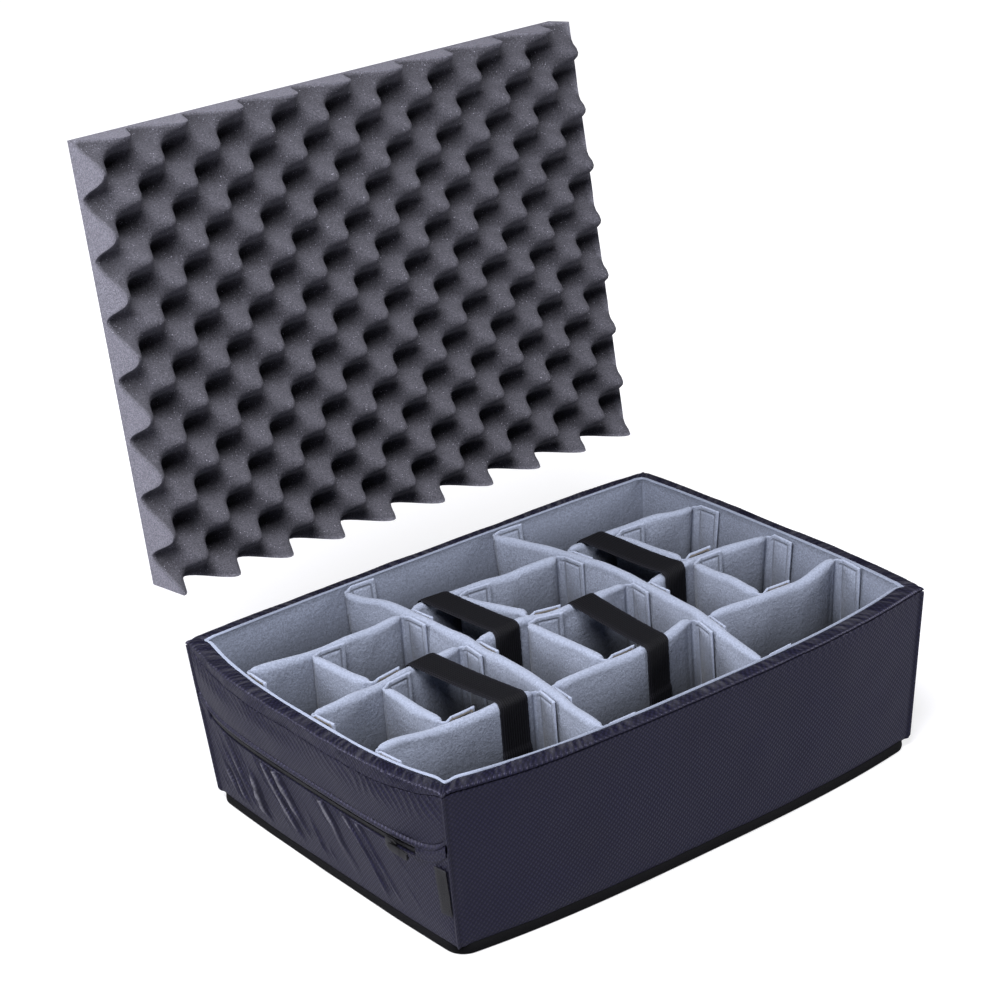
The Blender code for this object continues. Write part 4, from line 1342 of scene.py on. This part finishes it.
def tab_marks(sizes):
    """A tab's stations: place along it, depth from its seat, half thickness, and stitches."""
    edge = sizes.thickness / 2 + sizes.tab_width
    seat = sizes.seat_gap + sizes.tab_thickness / 2
    flat = sizes.tab_thickness / 2
    root = sizes.thickness / 2 + sizes.hem
    hem = [(sizes.hem / mm + back, thick, stitch) for back, thick, stitch in TAB_HEM]
    marks = [
        (edge - back * mm, seat, flat * thick, stitch) for back, thick, stitch in (*TAB_EDGE, *hem)
    ]
    marks += [(root + back * mm, seat, flat * thick, stitch) for back, thick, stitch in TAB_ROOT]
    radius = TAB_FOLD_RADIUS
    for turn in np.linspace(0, pi / 2, 6):
        marks.append((radius * (1 - sin(turn)), seat + radius * (1 - cos(turn)), flat * 1.1, 0))
    marks += [(0, seat + radius + depth * mm, half * mm, 0) for depth, half in BODY_SWELL]
    return marks


def rounded_line(points, spacing, radius):
    """A plan line through points with its bends rounded, as an array of points."""
    out = []
    for k, point in enumerate(points):
        if 0 < k < len(points) - 1:
            before = (points[k - 1] - point).normalized() * radius
            after = (points[k + 1] - point).normalized() * radius
            for t in np.linspace(0, 1, 5):
                out.append((point + before).lerp(point, t).lerp(point.lerp(point + after, t), t))
        else:
            out.append(point)
    rows = [np.array(out[0])]
    for a, b in zip(out, out[1:]):
        steps = max(int((b - a).length / spacing), 1)
        for step in range(1, steps + 1):
            rows.append(np.array(a.lerp(b, step / steps)))
    return np.array(rows)


def resampled(rows, size):
    s = run_lengths(rows)
    t = np.linspace(0, s[-1], size)
    return np.column_stack([np.interp(t, s, rows[:, k]) for k in range(2)])


# How far each row of a divider lies under its top, in millimetres
DEPTHS = (0, 0.12, 0.5, 1.1, 1.9, 2.5, 3.0, 3.5, 4.5, 5.0, 7, 11, 17, 25, 36, 50, 66, 84, 100, 112)


class DividerSolid:
    """The points of one divider: stations from tab to tab, with rows from its top to its foot."""

    def __init__(self, first, middle, last, top, seed, lifts):
        self.sizes = bpy.context.scene.insert_dividers
        self.first, self.last, self.top, self.seed = first, last, top, seed
        self.full = self.sizes.thickness / 2 + self.sizes.puff
        self.tab_marks = tab_marks(self.sizes)
        self.lay_stations(middle)
        self.mark_stations()
        self.lay_rows(lifts)
        self.sew()
        self.stand_tabs()

    def tab_line(self, end):
        point, way, inward = end
        return [point + way * a + inward * b for a, b, _, _ in self.tab_marks]

    def lay_stations(self, middle):
        """The plan line at the foot and at the top, and the way to the left of each."""
        paths = body_paths(self.sizes, self.first, middle, self.last)
        self.body_count = max(int((paths[1][-1] - paths[1][0]).length / (4 * mm)), 4)
        self.lines, self.sides = [], []
        for level, path in enumerate(paths):
            core = resampled(rounded_line(path, 2 * mm, 9 * mm), self.body_count + 2)
            start, stop = self.tab_line(self.first[level]), self.tab_line(self.last[level])
            line = [*start, *map(Vector, core[1:-1]), *reversed(stop)]
            line = np.array([tuple(point) for point in line])
            tangent = unit(np.gradient(line, axis=0))
            self.lines.append(line)
            self.sides.append(np.stack([-tangent[:, 1], tangent[:, 0]], -1))
        self.s = run_lengths(self.lines[1])

    def at_stations(self, at_tab, at_body):
        """A value for each station, from those of one tab and that of the body."""
        at_tab = np.array(at_tab)
        return np.concatenate([at_tab, np.full(self.body_count, at_body), at_tab[::-1]])

    def mark_stations(self):
        """Half thickness, stitches, what is tab, and the distance from the tab's edge."""
        sizes, marks = self.sizes, self.tab_marks
        flat_depth = sizes.seat_gap + sizes.tab_thickness
        flat = [float(mark[1] < flat_depth and mark[0] > 4 * mm) for mark in marks]
        self.half = self.at_stations([mark[2] for mark in marks], self.full)
        self.stitched = self.at_stations([mark[3] for mark in marks], 0)
        self.tab = self.at_stations(flat, 0.0)
        self.edge = self.at_stations([marks[0][0] - mark[0] for mark in marks], 1.0)

    def lay_rows(self, lifts):
        """Depths and heights of the rows under an uneven top."""
        s, tab, top, foot = self.s, self.tab, self.top, self.sizes.foot
        start, stop = s[len(self.tab_marks)], s[-len(self.tab_marks) - 1]
        share = np.clip((s - start) / (stop - start), 0, 1)
        crown = top + 1.3 * mm * lattice(s / (24 * mm), 0 * s, self.seed) * (1 - tab)
        neck = 1 - ease(1.2 * mm, self.full, self.half)
        crown = crown - 1.6 * mm * neck * (1 - tab) + 0.6 * mm * tab
        crown = crown + lifts[0] * (1 - ease(0, 0.35, share)) + lifts[1] * ease(0.65, 1, share)
        depth = np.array(DEPTHS) * mm
        self.reach = top - foot
        self.depth = np.append(depth[depth < self.reach - 4 * mm], self.reach)
        self.z = crown[:, None] - self.depth[None, :] * ((crown - foot) / self.reach)[:, None]

    def sew(self):
        """Half thickness at each point, with the rows that its stitches draw in."""
        depth, hem = self.depth, self.sizes.hem
        half = self.half[:, None] + 0 * self.z
        arc = np.clip(depth[None, :] / half, 0, 1)
        wide = half * np.sqrt(np.clip(1 - (1 - arc) ** 2, 0, 1)) ** 0.9
        hem_row = (np.abs(depth - hem) < 0.6 * mm)[None, :]
        foot_row = (np.abs(depth - (self.reach - hem)) < 3 * mm)[None, :]
        inside = ((self.edge > hem - 0.6 * mm) & (self.tab > 0))[:, None]
        stitched = (self.stitched > 0)[:, None]
        line = (hem_row & inside) | (stitched & (depth > hem - 0.6 * mm)[None, :])
        self.stitch_line = line & ~(foot_row & (self.tab == 0)[:, None])
        self.wide = np.where(hem_row & inside & ~stitched, wide * 0.5, wide)
        self.body_only = (1 - self.tab)[:, None] * ease(1.5 * mm, self.full, half)

    def stand_tabs(self):
        """1 or -1 where a tab's inner side is on the left or the right, and 0 in the body."""
        repeats = (len(self.tab_marks), 1)
        start = np.tile(np.array(tuple(self.first[1][2])), repeats)
        stop = np.tile(np.array(tuple(self.last[1][2])), repeats)
        inward = np.concatenate([start, np.zeros((self.body_count, 2)), stop])
        self.inner = np.sign(np.einsum("ij,ij->i", self.sides[1], inward))[:, None]

    def at_height(self, low, high):
        """Plan values between those of the foot's line and those of the top's."""
        foot = self.sizes.foot
        climb = np.clip((self.z - foot) / (self.top - foot), 0, 1)[..., None]
        return low[:, None, :] * (1 - climb) + high[:, None, :] * climb

    def around(self, left, right=None):
        """Values down the left side and up the right one, as a ring for each station."""
        right = left if right is None else right
        return np.concatenate([left[:, ::-1], right[:, 1:]], axis=1)

    def rings(self):
        """The rings of points, with ripples in the body and tabs that lean out."""
        s, z, seed = self.s[:, None], self.z, self.seed
        ripple = 0.95 * mm * lattice(s / (23 * mm), z / (34 * mm), seed + 3)
        ripple = ripple + 0.4 * mm * lattice(s / (9 * mm), z / (15 * mm), seed + 4)
        ripple = ripple * self.body_only * ease(0, 6 * mm, self.depth)[None, :]
        lean = 1.1 * mm * (0.8 + 0.7 * lattice(s / (60 * mm), z / (45 * mm), seed + 6))
        near_edge = self.tab * np.clip(1 - self.edge / (19 * mm), 0, 1) ** 1.5
        centre = self.at_height(*self.lines)
        side = unit(self.at_height(*self.sides))
        shift = side * (np.abs(lean * near_edge[:, None]) * self.inner)[..., None]
        left = centre + side * (self.wide + ripple)[..., None] + shift
        right = centre - side * (self.wide - ripple)[..., None] + shift
        return np.concatenate([self.around(left, right), self.around(z)[..., None]], -1)

    def layers(self):
        """What the cloth reads: coordinates, seams, rubbed tab edges, painted highlight on top,
        hook side and painted shade.
        """
        tab, depth = self.tab[:, None], self.depth[None, :]
        edge = self.edge[:, None]
        # Painted highlight along the top, strongest on the tabs; the tabs' rubbed edges are paler
        # too
        on_top = ease(2.2 * mm, 0, depth) * np.maximum(0.35, tab)
        worn = np.maximum(on_top, tab * ease(1.4 * mm, 0, edge))
        hooked = (tab > 0) & (edge > 1.5 * mm) & (depth > 1.5 * mm)
        height = self.around(self.z)
        run = self.around(self.s[:, None] + 0 * self.z)
        # Painted shade, darker further below the top
        deep = DIVIDER_SHADE * ease(3 * mm, DIVIDER_SHADE_REACH, depth)
        return {
            "cloth": np.stack([run, height, 0 * height], -1),
            "seam": self.around(self.stitch_line),
            "worn": self.around(worn),
            "hook": self.around(hooked & (self.inner < 0), hooked & (self.inner > 0)),
            "deep": self.around(deep + 0 * self.z),
        }


def make_divider(name, first, middle, last, top, seed, lifts):
    """One divider: a padded sleeve with a stitched tab folded out at each end."""
    solid = DividerSolid(first, middle, last, top, seed, lifts)
    piece = sweep(name, solid.rings(), solid.layers(), radians(60))
    nodes = (f"{name}_sleeve", f"{name}_core")
    dress(piece, finish_named("divider_cloth"), name, "divider_cloth", *nodes)


def divider_layout(context):
    """All the dividers' ends and bends: name to (first end, bends, last end, top)."""
    box, sizes = context.scene.insert_box, context.scene.insert_dividers
    layout = {}
    rightward, forward = Vector((1, 0)), Vector((0, -1))
    long_paths = {}
    for side, shares in LONG_SHARES.items():
        points = [plan_point(box, pair) for pair in shares]
        first = wall_end(box, sizes, "back", points[0].x, points[1], rightward, sizes.long_top)
        last = wall_end(box, sizes, "front", points[-1].x, points[-2], rightward, sizes.long_top)
        long_paths[side] = body_paths(sizes, first, points[1:-1], last)
        layout[f"long_divider_{side}"] = (first, points[1:-1], last, sizes.long_top)
    cross_paths = {}
    for name, (near, far, shares) in CROSS_SHARES.items():
        points = [plan_point(box, pair) for pair in shares]
        middle = points[1:-1]
        if near != "wall":
            first = divider_end(sizes, long_paths[near], 1, points[0].y, rightward, forward)
        if far != "wall":
            last = divider_end(sizes, long_paths[far], 1, points[-1].y, -rightward, forward)
        if near == "wall":
            lead = middle[0] if middle else last[1][0]
            first = wall_end(box, sizes, "left", points[0].y, lead, forward, sizes.cross_top)
        if far == "wall":
            lead = middle[-1] if middle else first[1][0]
            last = wall_end(box, sizes, "right", points[-1].y, lead, forward, sizes.cross_top)
        cross_paths[name] = body_paths(sizes, first, middle, last)
        layout[f"cross_divider_{name}"] = (first, middle, last, sizes.cross_top)
    for name, (behind, ahead, x_behind, x_ahead) in SHORT_SHARES.items():
        half = box.length / 2
        first = divider_end(sizes, cross_paths[behind], 0, x_behind * half, forward, rightward)
        last = divider_end(sizes, cross_paths[ahead], 0, x_ahead * half, -forward, rightward)
        layout[f"short_divider_{name}"] = (first, [], last, sizes.cross_top)
    return layout, cross_paths


# How far the first and the last end of a cross divider stand up
LIFTED_ENDS = {
    "cross_divider_left_back": (4.5 * mm, 1 * mm),
    "cross_divider_left_middle": (4.5 * mm, 0),
    "cross_divider_left_front": (4 * mm, 0),
    "cross_divider_right_front": (0, 4.5 * mm),
}


class INSERT_OT_dividers(bpy.types.Operator):
    """Make the padded dividers with their stitched hook and loop tabs"""

    bl_idname = "insert.make_dividers"
    bl_label = "Dividers"

    def execute(self, context):
        layout, _ = divider_layout(context)
        for seed, (name, shape) in zip(count(*DIVIDER_SEEDS), layout.items()):
            make_divider(name, *shape, seed, LIFTED_ENDS.get(name, (0, 0)))
        return {"FINISHED"}


# Straps


def strap_seat(path, x):
    """Where a strap crosses a divider: the point, the divider's way and the way forward."""
    for start, stop in zip(path, path[1:]):
        share = (x - start.x) / (stop.x - start.x)
        if 0 <= share <= 1:
            break
    way = (stop - start).normalized()
    return start.lerp(stop, share), way, Vector((way.y, -way.x))


SEWN, FREE, HEM = range(3)
RUN_STEPS = 26
HEM_LENGTH = 11 * mm


def strap_line(context, far, near):
    """The strap's under side as rows of point, way across, and kind."""
    sizes, dividers = context.scene.insert_straps, context.scene.insert_dividers
    reach = dividers.thickness / 2 + sizes.gap
    crown = dividers.cross_top + sizes.gap
    shoulder = dividers.cross_top - dividers.thickness / 2
    rows = []

    def add(seat, offset, z, kind):
        point, way, forward = seat
        plan = point + forward * offset
        rows.append((plan.x, plan.y, z, way.x, way.y, kind))

    for z in np.linspace(shoulder - sizes.anchor_hang, shoulder, 12)[:-1]:
        add(far, -reach, z, SEWN)
    for turn in np.linspace(0, pi / 2, 9):
        add(far, -reach * cos(turn), shoulder + reach * sin(turn), SEWN)
    start = np.array(rows[-1])
    add(near, 0, crown, FREE)
    stop = np.array(rows.pop())
    for k in range(1, RUN_STEPS):
        t = k / RUN_STEPS
        row = start * (1 - t) + stop * t
        row[2] -= sizes.sag * sin(pi * t) ** 0.8
        row[5] = FREE
        rows.append(tuple(row))
    for turn in np.linspace(pi / 2, pi, 9):
        add(near, -reach * cos(turn), shoulder + reach * sin(turn), FREE)
    hem_start = shoulder - sizes.hang + HEM_LENGTH
    for z in np.linspace(shoulder, hem_start, 18)[1:]:
        add(near, reach, z, FREE)
    for z in np.linspace(hem_start, shoulder - sizes.hang, 7)[1:]:
        add(near, reach, z, HEM)
    return np.array(rows)


def strap_rings(sizes, rows, seed):
    """The webbing's rings round its line, and what its look reads."""
    centre, kinds = rows[:, :3], rows[:, 5]
    way = np.column_stack([rows[:, 3:5], np.zeros(len(rows))])
    travel = unit(np.gradient(centre, axis=0))
    up = unit(np.cross(travel, way))
    s = run_lengths(centre)
    loose = kinds > SEWN
    lift = np.maximum(0.5 * mm * lattice(s / (24 * mm), 0 * s, seed) * loose, -0.1 * mm)
    shift = 0.5 * mm * lattice(s / (40 * mm), 0 * s + 3, seed + 2)
    flat = np.linspace(-1, 1, 11)
    half, thick = sizes.width / 2, sizes.thickness
    layers = {"cloth": [], "worn": [], "seam": []}
    rings = []
    for k in range(len(rows)):
        hem = float(kinds[k] == HEM)
        stitched = float(hem and abs(s[k] - s[-1] + 10 * mm) < 0.8 * mm)
        ring = []
        for face, order in ((1, flat), (0, flat[::-1])):
            for a in order:
                rim = 0.35 * (abs(a) == 1)
                rise = (thick * (1 - rim) + 1.0 * mm * hem) if face else thick * rim
                rise += lift[k] + 0.14 * mm * (a * a) * loose[k]
                side = a * (half + 0.3 * mm * hem + 0.15 * mm * sin(s[k] * 900)) + shift[k]
                slant = 1.6 * mm * a * (k == len(rows) - 1)
                ring.append(centre[k] + way[k] * side + up[k] * rise + travel[k] * slant)
                layers["cloth"].append((s[k], a * half, 0))
                layers["worn"].append((rim + 0.12 * (abs(a) == 0.8)) * face)
                layers["seam"].append(stitched * face)
        rings.append(ring)
    return rings, layers


def make_strap(context, name, far, near, seed):
    """One continuous webbing strap, sewn over one divider and lying loose over the next."""
    sizes = context.scene.insert_straps
    rows = strap_line(context, far, near)
    piece = sweep(f"webbing_{name}", *strap_rings(sizes, rows, seed), radians(50))
    piece.data.materials.append(finish_named("webbing"))
    fold_at, _, forward = far
    back = fold_at + forward * (sizes.split - 2.5 * mm)
    ahead = fold_at + forward * (sizes.split + 5 * mm)
    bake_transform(piece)
    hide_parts(f"strap_{name}", f"strap_{name}_anchor")


class INSERT_OT_straps(bpy.types.Operator):
    """Make the webbing straps that tie the cross dividers together"""

    bl_idname = "insert.make_straps"
    bl_label = "Straps"

    def execute(self, context):
        box = context.scene.insert_box
        _, cross_paths = divider_layout(context)
        for seed, (name, shares) in zip(count(*STRAP_SEEDS), STRAP_SHARES.items()):
            behind, ahead, x_far, x_near = shares
            far = strap_seat(cross_paths[behind][1], x_far * box.length / 2)
            near = strap_seat(cross_paths[ahead][1], x_near * box.length / 2)
            make_strap(context, name, far, near, seed)
        return {"FINISHED"}


# Lid foam


# Rows across the foam's cut sides, and how pale those sides and their edge are
SIDE_ROWS = 5
CUT_SIDE_PALENESS, CUT_EDGE_PALENESS = 0.75, 0.5


class INSERT_OT_lid_foam(bpy.types.Operator):
    """Make the convoluted foam that belongs in the lid of the case"""

    bl_idname = "insert.make_lid_foam"
    bl_label = "Lid foam"

    def execute(self, context):
        sizes = context.scene.insert_foam
        low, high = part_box("lid_foam")
        columns = round((high.x - low.x) / sizes.pitch_long * sizes.steps)
        tall = (high.z - low.z - sizes.thickness * sin(sizes.lean)) / cos(sizes.lean)
        rows = round(tall / sizes.pitch_short * sizes.steps)
        i, j = np.meshgrid(np.arange(columns + 1), np.arange(rows + 1))
        wave = np.cos(2 * pi * i / sizes.steps) * np.cos(2 * pi * j / sizes.steps)
        thick = sizes.valley + (sizes.thickness - sizes.valley) * (1 + wave) / 2
        thick = thick + 0.5 * mm * lattice(i / 11, j / 9, 5) + 0.25 * mm * lattice(i / 3, j / 3, 6)
        x = low.x + (high.x - low.x) * i / columns
        up = tall * j / rows
        front = np.stack([x, thick, up], -1)
        points, faces, worn = self.solid(front)
        # Painted shade in the pits, darkest at their bottoms
        pit = 1 - (thick - sizes.valley) / (sizes.thickness - sizes.valley)
        deep = np.zeros(len(points))
        deep[: pit.size] = PIT_SHADE * ease(0.35, 1, pit).ravel()
        lean = Matrix.Rotation(-sizes.lean, 3, "X")
        turned = (points * (1, -1, 1)) @ np.array(lean.transposed())
        turned += (0, high.y - tall * sin(sizes.lean), low.z)
        layers = {"worn": worn, "deep": deep}
        piece = make_piece("convoluted_foam", turned, faces, layers, radians(55))
        dress(piece, finish_named("pad_foam"), "lid", "pad_foam", "lid_foam")
        return {"FINISHED"}

    def solid(self, front):
        """Closes the wavy front with cut sides and a flat back."""
        rows, columns = front.shape[:2]
        points = [front.reshape(-1, 3)]
        faces = [list(f) for f in ring_faces(rows, columns, closed=False)]
        border = [(0, c) for c in range(columns)]
        border += [(r, columns - 1) for r in range(1, rows)]
        border += [(rows - 1, c) for c in range(columns - 2, -1, -1)]
        border += [(r, 0) for r in range(rows - 2, 0, -1)]
        edge = np.array([r * columns + c for r, c in border])
        previous = edge
        base = rows * columns
        flat = front.reshape(-1, 3)
        for k in range(1, SIDE_ROWS + 1):
            ring = flat[edge].copy()
            ring[:, 1] *= 1 - k / SIDE_ROWS
            points.append(ring)
            current = base + np.arange(len(edge))
            base += len(edge)
            for n in range(len(edge)):
                m = (n + 1) % len(edge)
                faces.append([previous[n], current[n], current[m], previous[m]])
            previous = current
        faces.append([int(v) for v in previous])
        points = np.concatenate(points)
        worn = np.zeros(len(points))
        worn[rows * columns :] = CUT_SIDE_PALENESS
        worn[edge] = CUT_EDGE_PALENESS
        return points, faces, worn


# Stage


class InsertStageSettings(bpy.types.PropertyGroup):
    """Camera and light of the studio."""

    lens: FloatProperty(name="Lens", description="Focal length in millimetres", default=98.95)
    sensor: FloatProperty(name="Sensor", description="Sensor width in millimetres", default=36)
    azimuth: angle_prop("Azimuth", "Turn of the camera round the box", -35.6)
    elevation: angle_prop("Elevation", "Height of the camera as an angle", 23)
    roll: angle_prop("Roll", "Turn of the picture", -4.3)
    place: FloatVectorProperty(
        name="Place",
        description="Where the camera stands",
        default=(-1.1262, -1.5070, 1.0398),
        unit="LENGTH",
    )
    world: share_prop("World", "Strength of the light all round", 0.045)
    key: power_prop("Key", "Power of the large light above", 79)
    fill: power_prop("Fill", "Power of the light from the left", 40)
    side: power_prop("Side", "Power of the light from the front", 8)
    floor_glow: share_prop("Floor glow", "What lifts the floor to white", 0.72)


# Each lamp: its place, what it points at, its width, and the setting that holds its power
LAMPS = {
    "top_softbox": ((-0.85, -0.68, 1.86), (0, 0, 0.1), 1.15, "key"),
    "left_softbox": ((-1.9, 1.1, 0.9), (-0.22, 0.05, 0.1), 1.0, "fill"),
    "front_softbox": ((0.95, -0.8, 0.4), (0.24, -0.16, 0.07), 0.4, "side"),
}
FLOOR_COLOUR = (0.36, 0.36, 0.4)
FLOOR_HALF = 8
ROOM_COLOUR = (0.95, 0.97, 1)


class INSERT_OT_stage(bpy.types.Operator):
    """Set the floor, the soft light and the camera"""

    bl_idname = "insert.set_stage"
    bl_label = "Stage"

    def execute(self, context):
        settings = context.scene.insert_stage
        context.scene.view_settings.view_transform = "Standard"
        self.add_floor(settings)
        self.add_world(context, settings)
        for name, (place, target, size, power) in LAMPS.items():
            self.add_lamp(name, place, target, size, getattr(settings, power))
        self.add_camera(context, settings)
        return {"FINISHED"}

    def add_floor(self, settings):
        corners = ((-1, -1, 0), (1, -1, 0), (1, 1, 0), (-1, 1, 0))
        floor = make_piece("floor", np.array(corners) * FLOOR_HALF, [[0, 1, 2, 3]])
        recipe = Recipe("floor_white")
        seen = recipe.node("ShaderNodeLightPath", {}, {}, "Is Camera Ray")
        sockets = {0: recipe.place()}
        away = recipe.node("ShaderNodeVectorMath", {"operation": "LENGTH"}, sockets, "Value")
        glow = away.between(0.35, 1.1) * (1 - settings.floor_glow) + settings.floor_glow
        recipe.finish(
            Base_Color=FLOOR_COLOUR,
            Roughness=0.9,
            Specular_IOR_Level=0.1,
            Emission_Color=recipe.blend(seen * glow, (0, 0, 0), (1, 1, 1)),
            Emission_Strength=1,
        )
        floor.data.materials.append(recipe.material)

    def add_world(self, context, settings):
        world = bpy.data.worlds.new("studio")
        context.scene.world = world
        recipe = Recipe("studio", world)
        seen = recipe.node("ShaderNodeLightPath", {}, {}, "Is Camera Ray")
        sockets = {"Color": ROOM_COLOUR, "Strength": settings.world}
        room = recipe.node("ShaderNodeBackground", {}, sockets)
        white = recipe.node("ShaderNodeBackground", {}, {"Color": (1, 1, 1), "Strength": 1})
        mix = recipe.node("ShaderNodeMixShader", {}, {0: seen, 1: room, 2: white})
        recipe.node("ShaderNodeOutputWorld", {}, {"Surface": mix}, None)

    def add_lamp(self, name, place, target, size, power):
        data = bpy.data.lights.new(name, "AREA")
        data.shape = "DISK"
        data.size = size
        data.energy = power
        lamp = bpy.data.objects.new(name, data)
        lamp.location = place
        way = Vector(target) - Vector(place)
        lamp.rotation_euler = way.to_track_quat("-Z", "Y").to_euler()
        bpy.context.scene.collection.objects.link(lamp)

    def add_camera(self, context, settings):
        az, el, roll = settings.azimuth, settings.elevation, settings.roll
        back = Vector((sin(az) * cos(el), -cos(az) * cos(el), sin(el)))
        right = Vector((cos(az), sin(az), 0))
        up = back.cross(right)
        level_right = right * cos(roll) + up * sin(roll)
        level_up = up * cos(roll) - right * sin(roll)
        data = bpy.data.cameras.new("camera")
        data.lens = settings.lens
        data.sensor_width = settings.sensor
        data.clip_end = 50
        camera = bpy.data.objects.new("camera", data)
        turn = Matrix((level_right, level_up, back)).transposed()
        camera.matrix_world = Matrix.Translation(settings.place) @ turn.to_4x4()
        context.scene.collection.objects.link(camera)
        context.scene.camera = camera


class INSERT_PT_panel(bpy.types.Panel):
    """Lists the pieces of the insert in the sidebar"""

    bl_idname = "INSERT_PT_panel"
    bl_label = "Bag Insert"
    bl_space_type = "VIEW_3D"
    bl_region_type = "UI"
    bl_category = "Bag Insert"

    def draw(self, context):
        for operator in PIECES:
            self.layout.operator(operator.bl_idname)
        for name in GROUPS:
            group = getattr(context.scene, name)
            column = self.layout.box().column()
            for key in group.bl_rna.properties.keys():
                if key not in ("rna_type", "name"):
                    column.prop(group, key)


PIECES = (
    INSERT_OT_stage,
    INSERT_OT_walls,
    INSERT_OT_lining,
    INSERT_OT_base,
    INSERT_OT_zip,
    INSERT_OT_label,
    INSERT_OT_dividers,
    INSERT_OT_straps,
    INSERT_OT_lid_foam,
)
GROUPS = {
    "insert_box": InsertBoxSizes,
    "insert_dividers": InsertDividerSizes,
    "insert_straps": InsertStrapSizes,
    "insert_zip": InsertZipSizes,
    "insert_foam": InsertFoamSizes,
    "insert_colours": InsertColours,
    "insert_stage": InsertStageSettings,
}


def register():
    for name, group in GROUPS.items():
        bpy.utils.register_class(group)
        setattr(bpy.types.Scene, name, PointerProperty(type=group))
    for operator in PIECES:
        bpy.utils.register_class(operator)
    bpy.utils.register_class(INSERT_PT_panel)


def unregister():
    bpy.utils.unregister_class(INSERT_PT_panel)
    for operator in reversed(PIECES):
        bpy.utils.unregister_class(operator)
    for name, group in reversed(GROUPS.items()):
        delattr(bpy.types.Scene, name)
        bpy.utils.unregister_class(group)


def main():
    register()
    bpy.ops.insert.set_stage()
    bpy.ops.insert.make_walls()
    bpy.ops.insert.make_lining()
    bpy.ops.insert.make_base()
    bpy.ops.insert.make_zip()
    bpy.ops.insert.make_label()
    bpy.ops.insert.make_dividers()
    bpy.ops.insert.make_straps()
    bpy.ops.insert.make_lid_foam()


if __name__ == "__main__":
    main()
